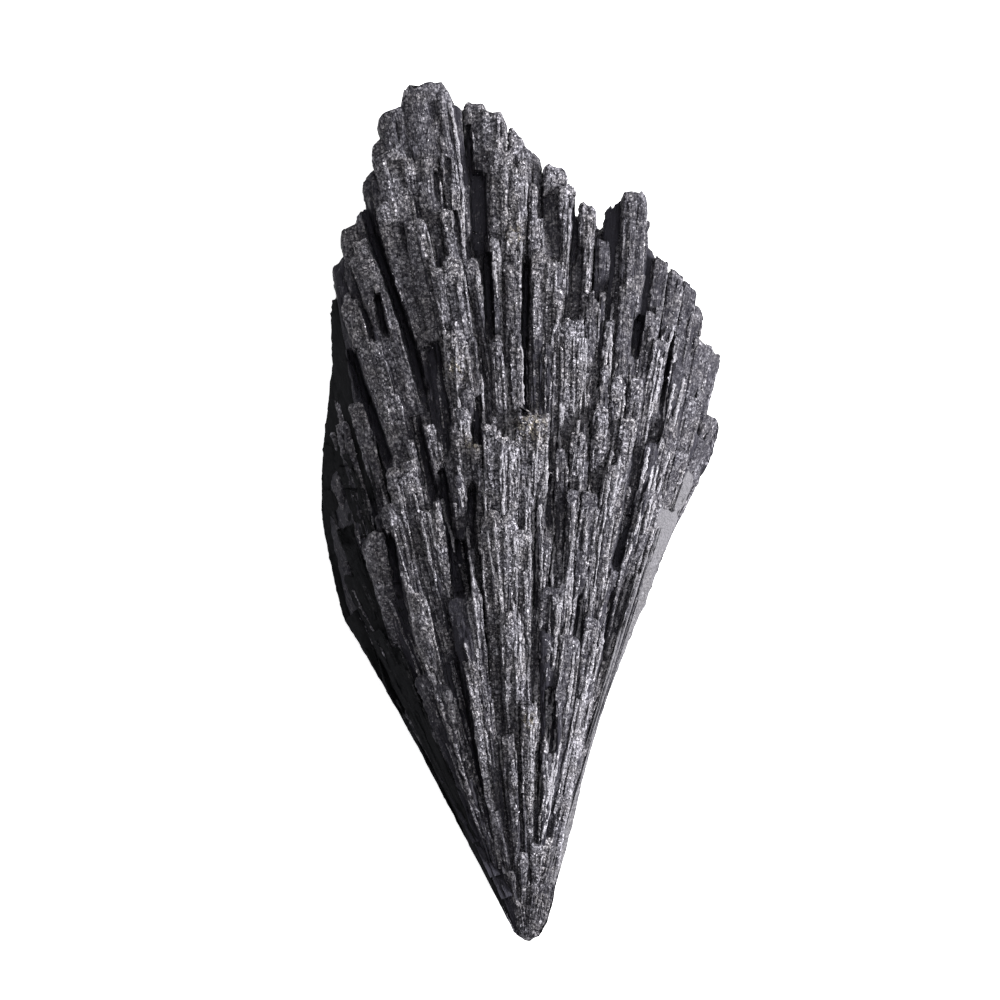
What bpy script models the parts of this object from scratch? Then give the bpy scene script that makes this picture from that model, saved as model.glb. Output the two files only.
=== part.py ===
"""Black tourmaline fan: one spray of flat crystal blades, grown together, lying on its back.

Every blade is a long, flat prism that points away from one focus near the narrow end of the fan.
The blades overlap like shingles on a domed body, and all of them are joined in one solid.
Lengths are in millimetres up to the last step, which makes the mesh in metres.
X is across the fan, Y runs from the focus to the blade tips and Z is up from the surface it rests on.
"""

import math
import random
from collections import namedtuple

import bmesh
import bpy
from mathutils import Matrix, Vector

MM = 0.001
SEED = 7

# The two sides of the fan's rim, seen from above: (distance from the focus, degrees from +Y).
LEFT_RIM = [
    (1.7, -22), (2.9, -28), (6.4, -25.2), (13, -26.2), (26.8, -27), (36, -27.8), (38.4, -28.1),
    (41.5, -27.1), (45.9, -25.6), (48.2, -24.9), (52.6, -22.8), (59.6, -19.2), (62.6, -17.9),
    (67, -16.8), (69.9, -16), (73.1, -14.4), (76.2, -12.4), (83.4, -10.4), (86.5, -8.6), (88.2, -7.2),
]
RIGHT_RIM = [
    (1.7, 24), (2.5, 31), (4.1, 30), (7.5, 22.6), (10.7, 19.6), (15, 17.7), (19, 16.5), (26.6, 16.4),
    (31.3, 17.2), (41.9, 17.7), (46.3, 18.5), (50.9, 19.2), (55.4, 19.6), (58.7, 17.7), (62.7, 17.2),
    (66.7, 14.2), (70.4, 11.6), (73.8, 7.4), (75.2, 4.4), (79.7, 1.0), (82.3, -1), (84.9, -2.6),
    (86, -4.6), (88.2, -6),
]

# The domed front: a straight rise from the narrow end, a rounded crest and a straight fall to the tips.
FOOT_HEIGHT = 4.6
RISE = 0.25
CREST_REACH = 52.0
CREST_HEIGHT = 17.4
FALL = 0.21
CREST_ROUNDING = 1.6
EDGE_HEIGHT = 4.4
DOME_POWER = 2.6
DOME_FULLNESS = 0.7
SHOULDER_REACH = 60.0

# The flatter back, and the shares of the way out to the rim at which its three rows of blades end.
BACK_HEIGHT = 0.75
SIDE_CURL = 1.7
TIP_CURL = 1.6
FOOT_CURL = 1.5
BACK_ROWS = [0.97, 0.76, 0.52]
REST_DROP = 0.35

# Long plain blades down the sides: root and tip in plan, width, and how high up the side they sit.
SIDE_BLADES = [
    ((7.9, 31.0), (17.4, 52.6), 1.4, 0.60),
    ((4.6, 19.0), (12.0, 41.2), 1.3, 0.66),
    ((2.4, 9.0), (7.4, 28.5), 1.0, 0.70),
    ((8.2, 33.5), (15.8, 50.6), 1.8, 0.86),
    ((5.0, 22.0), (10.5, 38.6), 1.6, 0.90),
    ((-1.7, 6.8), (-16.3, 34.5), 1.0, 0.55),
    ((-6.0, 15.2), (-17.9, 40.0), 1.8, 0.72),
    ((-3.2, 8.6), (-12.4, 26.2), 1.3, 0.82),
]

# The body under the blades.
CORE_SINK = 1.5
CORE_INSET = 1.2
CORE_REACHES = [1.9, 2.9, 5, 12, 24, 36, 46, 54, 62, 69, 75, 80, 84]
CORE_PLEATS = 9
PLEAT_DEPTH = 0.3

# Smaller blades between the rest: rows of them, each at a distance from the focus.
FILLER_REACHES = [31, 38, 45, 52, 59, 65.5, 70.5, 75, 79.5, 83.5]
FILLER_STEP = 2.1
FILLER_CLEARANCE = 1.5

# How a blade is cut: its sides lean out, and its tip leans forward.
SIDE_LEAN = 0.16
TIP_LEAN = 0.10
ROOT_SINK = 0.9

# A blade of the front: where its tip is, how wide it is, how far its tip stands above the dome,
# and how much further its left corner reaches than its right one.
Blade = namedtuple("Blade", "tip_x tip_y width lift slant")

CROWN = [
    Blade(-10.2, 87.3, 2.6, 1.6, -0.2),
    Blade(-10.3, 86.4, 4.4, 1.3, 0.5),
    Blade(-13.7, 84.2, 2.4, 0.8, -0.9),
    Blade(-14.7, 81.0, 1.6, 0.6, -0.8),
    Blade(-16.0, 77.2, 1.6, -0.8, -1.2),
    Blade(-13.3, 80.2, 1.8, 1.9, 0.5),
    Blade(-10.6, 79.8, 2.2, 2.3, 0.4),
    Blade(-8.1, 80.0, 1.5, 2.4, 0.0),
    Blade(-8.2, 74.7, 1.5, 2.7, 0.3),
    Blade(-11.6, 74.8, 1.6, 2.8, -0.4),
    Blade(-14.3, 76.0, 2.0, 1.9, -0.5),
    Blade(-10.3, 70.8, 2.4, 3.1, 0.6),
    Blade(-6.8, 85.1, 1.1, 0.0, 0.6),
]
SECOND_CROWN = [
    Blade(-4.5, 84.8, 3.4, -0.2, 1.3),
    Blade(-3.5, 80.3, 2.0, 2.0, 0.2),
    Blade(-1.2, 82.2, 1.8, 0.0, 0.9),
    Blade(-0.7, 80.2, 2.2, 1.6, 0.2),
    Blade(0.9, 80.0, 1.4, -0.4, 1.0),
    Blade(2.6, 79.1, 2.6, 0.2, 0.4),
    Blade(3.8, 77.1, 1.4, 1.4, 0.7),
    Blade(5.8, 74.8, 2.2, 0.0, 1.3),
]
RIGHT_SHOULDER = [
    Blade(8.2, 74.9, 1.8, -1.2, -2.1),
    Blade(10.4, 76.1, 2.4, 2.0, 0.5),
    Blade(12.2, 69.8, 1.4, -0.8, 0.9),
    Blade(13.6, 69.6, 1.2, 0.4, 0.8),
    Blade(14.9, 68.4, 1.4, 0.3, 1.0),
    Blade(16.2, 67.0, 1.5, 0.2, 1.1),
    Blade(7.2, 68.9, 1.8, 1.8, 0.2),
    Blade(10.2, 67.8, 2.2, 2.6, -0.2),
    Blade(6.4, 66.0, 1.6, 1.7, 0.4),
    Blade(7.8, 63.8, 1.0, 2.0, -0.3),
    Blade(12.3, 62.7, 2.0, 1.2, 0.6),
    Blade(15.2, 65.8, 1.4, 0.9, 0.6),
    Blade(17.2, 63.0, 1.4, -0.4, 1.0),
    Blade(13.2, 61.0, 2.4, 1.7, 0.5),
    Blade(15.2, 59.4, 1.3, 1.6, 0.2),
    Blade(18.2, 60.8, 1.5, -0.6, 0.9),
]
BROW = [
    Blade(1.7, 69.8, 3.2, 2.4, -0.3),
    Blade(-1.6, 69.8, 1.4, 1.5, 0.3),
    Blade(-5.6, 69.8, 1.0, 0.9, 0.4),
    Blade(4.0, 63.2, 2.4, 2.1, 0.2),
    Blade(-7.8, 62.5, 2.4, 1.9, 0.4),
    Blade(-1.6, 62.5, 1.5, 2.0, -0.4),
    Blade(0.9, 62.0, 1.2, 0.4, 0.2),
    Blade(2.8, 60.8, 1.6, 1.8, 0.3),
    Blade(7.6, 58.9, 1.2, 1.9, 0.4),
    Blade(8.4, 56.9, 1.2, 1.9, -0.3),
    Blade(10.8, 57.4, 1.3, 2.2, 0.5),
    Blade(6.9, 54.7, 1.1, 1.7, 0.2),
    Blade(4.2, 50.5, 1.6, 1.9, -0.3),
]
LEFT_SIDE = [
    Blade(-17.1, 71.7, 1.5, 0.7, -0.2),
    Blade(-15.8, 69.8, 2.4, 1.7, 0.7),
    Blade(-18.1, 72.8, 1.8, -1.0, -1.0),
    Blade(-18.6, 69.8, 1.8, -1.6, -1.0),
    Blade(-17.9, 65.7, 1.4, 1.3, -0.5),
    Blade(-19.1, 66.0, 1.6, -1.7, -0.9),
    Blade(-19.2, 60.5, 1.6, -1.7, -0.6),
    Blade(-14.1, 55.9, 1.4, 2.3, 0.3),
    Blade(-19.0, 56.4, 1.3, 0.1, -0.3),
    Blade(-17.3, 55.5, 1.4, 1.3, 0.3),
    Blade(-18.7, 54.2, 1.4, 0.3, -0.3),
    Blade(-19.7, 53.0, 1.8, -1.7, -0.7),
    Blade(-20.1, 48.2, 1.8, -1.9, -0.4),
    Blade(-19.7, 44.0, 1.8, -1.9, -0.6),
    Blade(-18.9, 39.5, 1.8, -1.9, -0.8),
    Blade(-17.8, 34.8, 2.0, -1.9, -1.4),
    Blade(-17.6, 42.2, 1.6, -0.5, -0.4),
    Blade(-15.6, 42.4, 2.4, 1.3, -0.3),
]
FRONT_LEDGES = [
    Blade(-11.8, 52.0, 1.2, 1.5, 0.5),
    Blade(-10.0, 53.3, 1.2, 1.3, -0.4),
    Blade(-7.0, 54.8, 2.0, 2.1, 1.0),
    Blade(-3.8, 53.5, 1.4, 2.1, 0.3),
    Blade(-5.0, 51.7, 1.2, 2.1, -0.4),
    Blade(0.2, 54.2, 3.4, 2.8, 0.5),
    Blade(-2.3, 52.3, 2.2, 2.7, -0.6),
    Blade(-3.6, 50.4, 1.6, 2.9, 0.3),
    Blade(-12.6, 48.2, 3.0, 1.9, 0.4),
    Blade(-13.6, 45.5, 2.2, 2.2, -0.3),
    Blade(-9.3, 45.8, 1.0, 1.5, 0.3),
    Blade(-7.3, 36.2, 2.1, 1.8, 0.2),
    Blade(-5.5, 37.2, 1.1, 2.2, 0.3),
    Blade(-5.2, 43.2, 1.0, 2.0, -0.2),
    Blade(-2.8, 43.8, 3.6, 2.8, -0.4),
    Blade(-0.3, 42.0, 1.1, 2.5, 0.3),
    Blade(2.2, 37.0, 2.8, 1.8, 0.5),
    Blade(2.0, 32.0, 1.3, 1.8, 0.7),
    Blade(-0.3, 25.7, 1.4, 2.2, 0.2),
]
RIGHT_EDGE = [
    Blade(18.1, 53.4, 1.6, -0.2, 0.7),
    Blade(16.6, 49.4, 1.4, -0.6, 0.8),
    Blade(15.0, 46.6, 1.5, 0.1, 0.8),
    Blade(13.4, 43.4, 1.4, -0.1, 0.7),
]
RIGHT_SIDE = [
    Blade(16.2, 56.4, 2.0, 1.1, 0.4),
    Blade(14.0, 52.0, 1.4, 1.7, 0.3),
    Blade(8.4, 48.2, 2.0, 1.9, 0.2),
    Blade(6.0, 46.5, 2.3, 2.3, -0.4),
    Blade(12.4, 46.8, 1.8, 2.3, 0.4),
    Blade(6.4, 34.1, 1.4, 1.8, 0.3),
    Blade(4.3, 32.4, 1.9, 2.0, 0.7),
    Blade(8.0, 29.5, 1.1, 1.1, 0.3),
    Blade(6.0, 28.7, 1.8, 2.0, 0.4),
    Blade(2.9, 26.9, 1.0, 2.0, -0.2),
]

# Each group of blades, and how far to the right of the focus its blades aim.
FRONT_GROUPS = [
    (CROWN, 2.2),
    (SECOND_CROWN, 1.0),
    (RIGHT_SHOULDER, -0.6),
    (BROW, 0.4),
    (LEFT_SIDE, 1.0),
    (FRONT_LEDGES, 0.4),
    (RIGHT_EDGE, -6.5),
    (RIGHT_SIDE, -0.6),
]


def between(low, high, share):
    return low + (high - low) * share


def along_rim(side, reach):
    """Direction of one side of the rim, in degrees, at a distance from the focus."""
    reach = min(max(reach, side[0][0]), side[-1][0])
    for (near, near_bearing), (far, far_bearing) in zip(side, side[1:]):
        if reach <= far:
            return between(near_bearing, far_bearing, (reach - near) / (far - near))


def rim_at(reach):
    """Left and right edge of the fan, in degrees, at a distance from the focus."""
    return along_rim(LEFT_RIM, reach), along_rim(RIGHT_RIM, reach)


def rim_reach(bearing):
    """How far the fan reaches in a direction, in half-millimetre steps."""
    reach = LEFT_RIM[-1][0]
    while reach > LEFT_RIM[0][0]:
        left, right = rim_at(reach)
        if left <= bearing <= right:
            break
        reach -= 0.5
    return reach


def side_share(reach, bearing):
    """Where a direction lies between the two sides: -1 at the left one, 0 in the middle, 1 at the right one."""
    left, right = rim_at(min(reach, SHOULDER_REACH))
    middle = (left + right) / 2
    return min(max((bearing - middle) / (right - middle), -1), 1)


def polar(x, y):
    return math.hypot(x, y), math.degrees(math.atan2(x, y))


def crest(reach):
    """Height of the front along its middle: the lower of two slopes, with their meeting rounded off."""
    rise = FOOT_HEIGHT + RISE * reach
    fall = CREST_HEIGHT - FALL * (reach - CREST_REACH)
    return -CREST_ROUNDING * math.log(math.exp(-rise / CREST_ROUNDING) + math.exp(-fall / CREST_ROUNDING))


def dome(x, y):
    """Height of the front over a point."""
    reach, bearing = polar(x, y)
    fullness = (1 - abs(side_share(reach, bearing)) ** DOME_POWER) ** DOME_FULLNESS
    return EDGE_HEIGHT + (crest(reach) - EDGE_HEIGHT) * fullness


def back(x, y):
    """Height of the back over a point: low in the middle, curling up at the sides and at both ends."""
    reach, bearing = polar(x, y)
    side = abs(side_share(reach, bearing)) ** 3
    foot = max(1 - reach / 22, 0) ** 2
    return BACK_HEIGHT + SIDE_CURL * side + TIP_CURL * (reach / 88) ** 6 + FOOT_CURL * foot


def solid_from_top(name, corners, shift, lean):
    """A closed prism: the top face's corners in order, moved by shift to make the far face, and spread by lean."""
    mesh = bmesh.new()
    top = mesh.faces.new([mesh.verts.new(corner) for corner in corners])
    centre = top.calc_center_median()
    side_ways = {index: lean[index] for index in range(len(corners))}
    made = bmesh.ops.extrude_face_region(mesh, geom=[top], use_keep_orig=True)
    far = [item for item in made["geom"] if isinstance(item, bmesh.types.BMVert)]
    for vert in far:
        nearest = min(range(len(corners)), key=lambda i: (Vector(corners[i]) - vert.co).length)
        vert.co += Vector(shift) + side_ways[nearest]
    bmesh.ops.recalc_face_normals(mesh, faces=mesh.faces)
    return mesh_object(name, mesh)


def mesh_object(name, mesh):
    data = bpy.data.meshes.new(name)
    mesh.to_mesh(data)
    mesh.free()
    made = bpy.data.objects.new(name, data)
    bpy.context.scene.collection.objects.link(made)
    return made


def lath(name, tip, root, widths, heights, roll, depth, slant, up=1):
    """A flat blade from root to tip, both points in plan. widths and heights are (at the root, at the tip),
    roll is the top's slope across the blade, and up is 1 for a blade of the front and -1 for one of the back."""
    root, tip = Vector(root), Vector(tip)
    along = (tip - root).normalized()
    across = Vector((along.y, -along.x))
    length = (tip - root).length
    pitch = (heights[1] - heights[0]) / length

    def corner(distance, offset):
        place = root + along * distance + across * offset
        return (place.x, place.y, heights[0] + pitch * distance + roll * offset)

    half_root, half_tip = widths[0] / 2, widths[1] / 2
    corners = [
        corner(0, -half_root),
        corner(0, half_root),
        corner(length - slant / 2, half_tip),
        corner(length + slant / 2, -half_tip),
    ]
    spread = across.to_3d() * SIDE_LEAN * depth
    forward = along.to_3d() * TIP_LEAN * depth
    lean = [-spread, spread, spread - forward, -spread - forward]
    return solid_from_top(name, corners, (0, 0, -depth * up), lean)


def cross_slope(surface, x, y, across):
    """How steeply a surface rises along a direction in plan."""
    step = 0.8
    there = surface(x + across.x * step, y + across.y * step)
    here = surface(x - across.x * step, y - across.y * step)
    return (there - here) / (2 * step)


def front_blade(name, blade, aim):
    """One blade of the front. It starts on the slope that its tip is on, sunk a little under the dome."""
    tip = Vector((blade.tip_x, blade.tip_y))
    focus = Vector((aim, 0))
    reach = (tip - focus).length
    along = (tip - focus) / reach
    start = 0.26 * reach if reach < CREST_REACH + 2 else max(CREST_REACH - 10, reach - 27)
    root = focus + along * start
    across = Vector((along.y, -along.x))
    roll = 0.75 * cross_slope(dome, *(root + along * 0.8 * (reach - start)), across)
    heights = (dome(*root) - ROOT_SINK, dome(*tip) + blade.lift)
    widths = (blade.width * between(0.35, 1, start / reach), blade.width)
    depth = 2.4 + max(blade.lift, 0)
    return lath(name, tip, root, widths, heights, roll, depth, blade.slant)


def keep_inside(bearing, reach, width):
    """The nearest direction at which a blade of some width, ending at a distance, stays within the rim."""
    rims = [rim_at(reach * share) for share in (0.5, 0.65, 0.8, 1.0)]
    half = math.degrees(0.75 * width / reach)
    left = max(rim[0] for rim in rims) + half
    right = min(rim[1] for rim in rims) - half
    return min(max(bearing, left), right)


def pointing(bearing):
    """The direction in plan that is some degrees to the right of +Y."""
    angle = math.radians(bearing)
    return Vector((math.sin(angle), math.cos(angle)))


def side_blades():
    """The long plain blades that make the two lower sides of the fan."""
    made = []
    for index, (root, tip, width, share) in enumerate(SIDE_BLADES):
        heights = [between(back(*place), dome(*place), share) for place in (root, tip)]
        depth = 0.5 * heights[1]
        made.append(lath(f"side_{index}", tip, root, (width * 0.4, width), heights, 0.0, depth, 0.6))
    return made


def rim_blades(chance):
    """Blades at half height along the rim, which stack up its edge."""
    made = []
    count = 26
    for index in range(count):
        width = chance.uniform(1.8, 2.8)
        bearing = between(-25.6, 17.6, index / (count - 1)) + chance.uniform(-0.4, 0.4)
        reach = rim_reach(bearing) - chance.uniform(0.9, 3.2)
        along = pointing(keep_inside(bearing, reach, width))
        tip, root = along * reach, along * reach * 0.5
        low, high = back(*tip), dome(*tip)
        top = between(low, high, chance.uniform(0.45, 0.75))
        heights = (between(back(*root), dome(*root), 0.5), top)
        made.append(
            lath(f"rim_{index}", tip, root, (width * 0.4, width), heights, 0.0, top - low - 0.4,
                 chance.uniform(-0.8, 0.8))
        )
    return made


def filler_blades(chance, named):
    """Rows of smaller, lower blades in the gaps that the named ones leave on the front."""
    made = []
    for row, row_reach in enumerate(FILLER_REACHES):
        left, right = rim_at(row_reach)
        bearing = left + FILLER_STEP * (0.7 + 0.5 * (row % 2))
        while bearing < right - 1.2:
            at = bearing + chance.uniform(-0.4, 0.4)
            reach = row_reach + chance.uniform(-2.4, 2.4)
            tip = pointing(at) * reach
            width, lift = chance.uniform(1.1, 2.2), chance.uniform(0.2, 1.0)
            nearest = min(math.hypot(tip.x - blade.tip_x, (tip.y - blade.tip_y) / 2) for blade in named)
            if nearest > FILLER_CLEARANCE:
                blade = Blade(tip.x, tip.y, width, lift, chance.uniform(-0.7, 0.7))
                made.append(front_blade(f"filler_{len(made)}", blade, 0.0))
            bearing += FILLER_STEP
    return made


def back_blades(chance):
    """Overlapping rows of blades under the fan, each lower at its tip than at its root."""
    made = []
    for row, share in enumerate(BACK_ROWS):
        count = 13 - 2 * row
        for index in range(count):
            bearing = between(-27.0, 18.5, (index + 0.5 + 0.3 * (row % 2)) / count) + chance.uniform(-0.6, 0.6)
            reach = rim_reach(bearing) * share - chance.uniform(0.3, 4.5)
            width = chance.uniform(2.0, 3.4)
            along = pointing(keep_inside(bearing, reach, width))
            across = Vector((along.y, -along.x))
            tip, root = along * reach, along * reach * 0.45
            rests = row > 0 and index % 2 == 1
            low = -REST_DROP if rests else max(back(*tip) - chance.uniform(0.15, 0.5), 0.25)
            heights = (back(*root) + 0.8, low)
            roll = 0.0 if rests else 0.8 * cross_slope(back, tip.x, tip.y, across)
            made.append(
                lath(f"back_{row}_{index}", tip, root, (width * 0.5, width), heights, roll, 2.4,
                     chance.uniform(-1.0, 1.0), up=-1)
            )
    return made


def flatten_underside(body):
    """Wear the lowest blade tips down to one level, so that the fan lies flat on them."""
    mesh = bmesh.new()
    mesh.from_mesh(body.data)
    parts = mesh.verts[:] + mesh.edges[:] + mesh.faces[:]
    cut = bmesh.ops.bisect_plane(mesh, geom=parts, plane_co=(0, 0, 0), plane_no=(0, 0, 1), clear_inner=True)
    rim = [item for item in cut["geom_cut"] if isinstance(item, bmesh.types.BMEdge)]
    bmesh.ops.edgeloop_fill(mesh, edges=rim)
    bmesh.ops.recalc_face_normals(mesh, faces=mesh.faces)
    mesh.to_mesh(body.data)
    mesh.free()


def core():
    """The body that the blades grow out of: pleated across, and lofted from the narrow end to the tips."""
    mesh = bmesh.new()
    rings = []
    columns = 2 * CORE_PLEATS
    for reach in CORE_REACHES:
        left, right = rim_at(reach)
        inset = min(math.degrees(CORE_INSET / reach), 0.07 * (right - left))
        sink = min(CORE_SINK, 0.12 * reach)
        top, bottom = [], []
        for column in range(columns + 1):
            bearing = between(left + inset, right - inset, column / columns)
            direction = math.radians(bearing)
            x, y = reach * math.sin(direction), reach * math.cos(direction)
            pleat = PLEAT_DEPTH * (-1) ** column * min(reach / 20, 1)
            low = back(x, y) + 0.35 + pleat * 0.5
            high = max(dome(x, y) - sink + pleat, low + 0.8)
            top.append(mesh.verts.new((x, y, high)))
            bottom.append(mesh.verts.new((x, y, low)))
        rings.append(top + bottom[::-1])
    for near, far in zip(rings, rings[1:]):
        for index in range(len(near)):
            after = (index + 1) % len(near)
            mesh.faces.new((near[index], near[after], far[after], far[index]))
    mesh.faces.new(rings[0])
    mesh.faces.new(rings[-1])
    bmesh.ops.triangulate(mesh, faces=mesh.faces)
    bmesh.ops.recalc_face_normals(mesh, faces=mesh.faces)
    return mesh_object("crystal_fan", mesh)


def tourmaline():
    """Black crystal with a dull, dusty bloom."""
    material = bpy.data.materials.new("tourmaline")
    material.use_nodes = True
    shader = material.node_tree.nodes["Principled BSDF"]
    shader.inputs["Base Color"].default_value = (0.055, 0.054, 0.060, 1)
    shader.inputs["Roughness"].default_value = 0.55
    shader.inputs["Metallic"].default_value = 0.0
    return material


def join(body, blades):
    """One solid from the body and every blade."""
    group = bpy.data.collections.new("blades")
    bpy.context.scene.collection.children.link(group)
    for blade in blades:
        bpy.context.scene.collection.objects.unlink(blade)
        group.objects.link(blade)
    union = body.modifiers.new("blades", "BOOLEAN")
    union.operation = "UNION"
    union.solver = "EXACT"
    union.operand_type = "COLLECTION"
    union.collection = group
    bpy.context.view_layer.update()
    joined = bpy.data.meshes.new_from_object(body.evaluated_get(bpy.context.evaluated_depsgraph_get()))
    body.modifiers.remove(union)
    for blade in blades:
        bpy.data.objects.remove(blade)
    bpy.data.collections.remove(group)
    body.data = joined


def to_metres(body):
    """Put the middle of the underside at the origin, and turn millimetres into metres."""
    data = body.data
    low = [min(vert.co[axis] for vert in data.vertices) for axis in range(3)]
    high = [max(vert.co[axis] for vert in data.vertices) for axis in range(3)]
    bottom_centre = Vector(((low[0] + high[0]) / 2, (low[1] + high[1]) / 2, low[2]))
    data.transform(Matrix.Scale(MM, 4) @ Matrix.Translation(-bottom_centre))


def fill_hollows(body):
    """Close up the small hollows left inside where blades cross, by keeping the outermost skin only."""
    mesh = bmesh.new()
    mesh.from_mesh(body.data)
    waiting = set(mesh.faces)
    skins = []
    while waiting:
        front = [waiting.pop()]
        skin = list(front)
        while front:
            near = {other for face in front for edge in face.edges for other in edge.link_faces}
            front = list(near & waiting)
            waiting -= near
            skin += front
        skins.append(skin)
    outermost = max(skins, key=len)
    inner = [face for skin in skins if skin is not outermost for face in skin]
    bmesh.ops.delete(mesh, geom=inner, context="FACES")
    mesh.to_mesh(body.data)
    mesh.free()


def main():
    for leftover in list(bpy.data.objects):
        bpy.data.objects.remove(leftover)
    chance = random.Random(SEED)
    named = [blade for group, aim in FRONT_GROUPS for blade in group]
    blades = []
    for group, aim in FRONT_GROUPS:
        blades += [front_blade(f"front_{len(blades) + i}", blade, aim) for i, blade in enumerate(group)]
    blades += filler_blades(chance, named)
    blades += side_blades()
    blades += rim_blades(chance)
    blades += back_blades(chance)
    fan = core()
    join(fan, blades)
    fill_hollows(fan)
    flatten_underside(fan)
    to_metres(fan)
    fan.data.materials.clear()
    fan.data.materials.append(tourmaline())


main()
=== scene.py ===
# %% [markdown]
# # A black tourmaline fan
# The object is a spray of flat, black crystal blades that grew outwards from one narrow end. The blades overlap like
# shingles over a domed front, their tips are ragged, and a dusty crust of tiny bright flakes covers whatever stands
# proud. This lesson builds it blade by blade around a imported solid of the same fan.
# First the solid is loaded as a fixed frame. Nothing made here may change the fan's size.

# %% Load the frame
import math
import random
from collections import namedtuple

import bmesh
import bpy
import numpy as np
from mathutils import Matrix, Vector
from mathutils.bvhtree import BVHTree


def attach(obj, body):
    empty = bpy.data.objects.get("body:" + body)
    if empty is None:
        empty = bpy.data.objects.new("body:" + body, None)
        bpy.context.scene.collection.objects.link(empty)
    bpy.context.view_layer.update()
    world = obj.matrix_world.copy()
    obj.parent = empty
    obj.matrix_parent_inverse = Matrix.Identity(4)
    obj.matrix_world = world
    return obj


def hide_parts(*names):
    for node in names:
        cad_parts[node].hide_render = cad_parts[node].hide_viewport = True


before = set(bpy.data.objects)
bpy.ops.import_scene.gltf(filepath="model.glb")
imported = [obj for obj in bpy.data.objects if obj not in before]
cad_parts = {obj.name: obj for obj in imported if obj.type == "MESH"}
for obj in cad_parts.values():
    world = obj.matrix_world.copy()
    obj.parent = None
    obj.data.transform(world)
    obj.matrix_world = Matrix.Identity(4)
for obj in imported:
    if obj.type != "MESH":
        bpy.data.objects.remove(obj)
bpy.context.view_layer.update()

# %% [markdown]
# ## Where things are measured from
# All blades point away from one focus near the narrow end, so every place is easiest to give from there, in
# millimetres: X across, Y along, Z up. Only the last step of each piece turns millimetres into the frame's metres.

# %% Units and the focus
MM = 0.001
FOCUS = Vector((0.0010101, -0.0446696, 0.0))
SEED = 20
chance = random.Random(SEED)


def settle(piece):
    """Move a finished piece from millimetres at the focus to metres in the frame."""
    piece.data.transform(Matrix.Translation(FOCUS) @ Matrix.Scale(MM, 4))
    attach(piece, "root")
    low, high = corners_of(piece)
    print(piece.name, "has", len(piece.data.polygons), "faces, and spans", low, "to", high, "mm")


def corners_of(piece):
    """Lowest and highest corner of a settled piece, in millimetres."""
    places = points_of(piece)[0] / MM
    return places.min(0).round(1).tolist(), places.max(0).round(1).tolist()


def points_of(shape):
    """A shape's points and its face corners' point numbers, as arrays."""
    places = np.empty(3 * len(shape.data.vertices))
    shape.data.vertices.foreach_get("co", places)
    corners = np.empty(len(shape.data.loops), np.int32)
    shape.data.loops.foreach_get("vertex_index", corners)
    return places.reshape(-1, 3), corners


def set_values(mesh, name, values):
    """Write a number at every point of a mesh, for the finish to read."""
    attribute = mesh.attributes.get(name) or mesh.attributes.new(name, "FLOAT", "POINT")
    attribute.data.foreach_set("value", np.asarray(values, np.float32))


def values_of(mesh, name):
    """Read such a number back."""
    values = np.empty(len(mesh.vertices), np.float32)
    mesh.attributes[name].data.foreach_get("value", values)
    return values


def set_map(mesh, flat):
    """Write the map that the streaks follow, with a place for each face corner."""
    mesh.uv_layers["along"].data.foreach_set("uv", flat.astype(np.float32).ravel())


def select_only(shapes):
    """Select some objects and no others, the first of them active."""
    bpy.ops.object.select_all(action="DESELECT")
    for shape in shapes:
        shape.select_set(True)
    bpy.context.view_layer.objects.active = shapes[0]


# %% [markdown]
# ## The overall form
# Seen from above, the rim is a lopsided leaf. Its two sides are given as distances from the focus and directions in
# degrees. The front rises in a straight line from the narrow end to a rounded crest and then falls to the tips. The
# back is flatter. These surfaces are what every blade is laid on, so they are written first, as functions that work
# on single numbers and on whole arrays alike.

# %% The rim, the dome and the back
LEFT_RIM = np.array([
    (1.7, -22), (2.9, -28), (6.4, -25.2), (13, -26.2), (26.8, -27), (36, -27.8), (38.4, -28.1),
    (41.5, -27.1), (45.9, -25.6), (48.2, -24.9), (52.6, -22.8), (59.6, -19.2), (62.6, -17.9),
    (67, -16.8), (69.9, -16), (73.1, -14.4), (76.2, -12.4), (83.4, -10.4), (86.5, -8.6), (88.2, -7.2),
])
RIGHT_RIM = np.array([
    (1.7, 24), (2.5, 31), (4.1, 30), (7.5, 22.6), (10.7, 19.6), (15, 17.7), (19, 16.5), (26.6, 16.4),
    (31.3, 17.2), (38.9, 18.2), (44, 18.4), (46.3, 18.6), (50.9, 19.2), (55.4, 19.6), (58.7, 17.7), (62.7, 17.2),
    (66.7, 14.2), (70.4, 11.6), (73.8, 7.4), (75.2, 4.4), (79.7, 1.0), (82.3, -1), (84.9, -2.6),
    (86, -4.6), (88.2, -6),
])
LENGTH = 88.0
SHOULDER_REACH = 60.0

# The front: a straight rise from the foot, a rounded crest, a straight fall to the tips, and the height of the rim.
FOOT_HEIGHT = 4.6
RISE = 0.25
CREST_REACH = 52.0
CREST_HEIGHT = 17.4
FALL = 0.21
CREST_ROUNDING = 1.6
EDGE_HEIGHT = 4.4
DOME_POWER = 2.6
DOME_FULLNESS = 0.7

# The back: its height in the middle, and how far it curls up at the sides, at the tips and at the foot.
BACK_HEIGHT = 0.75
SIDE_CURL = 1.7
TIP_CURL = 1.6
FOOT_CURL = 1.5
FOOT_REACH = 22


def rim_at(reach):
    """Left and right edge of the fan, in degrees, at a distance from the focus."""
    return np.interp(reach, *LEFT_RIM.T), np.interp(reach, *RIGHT_RIM.T)


def side_share(reach, bearing):
    """-1 at the left side, 0 in the middle and 1 at the right side."""
    left, right = rim_at(np.minimum(reach, SHOULDER_REACH))
    middle = (left + right) / 2
    return np.clip((bearing - middle) / (right - middle), -1, 1)


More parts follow.
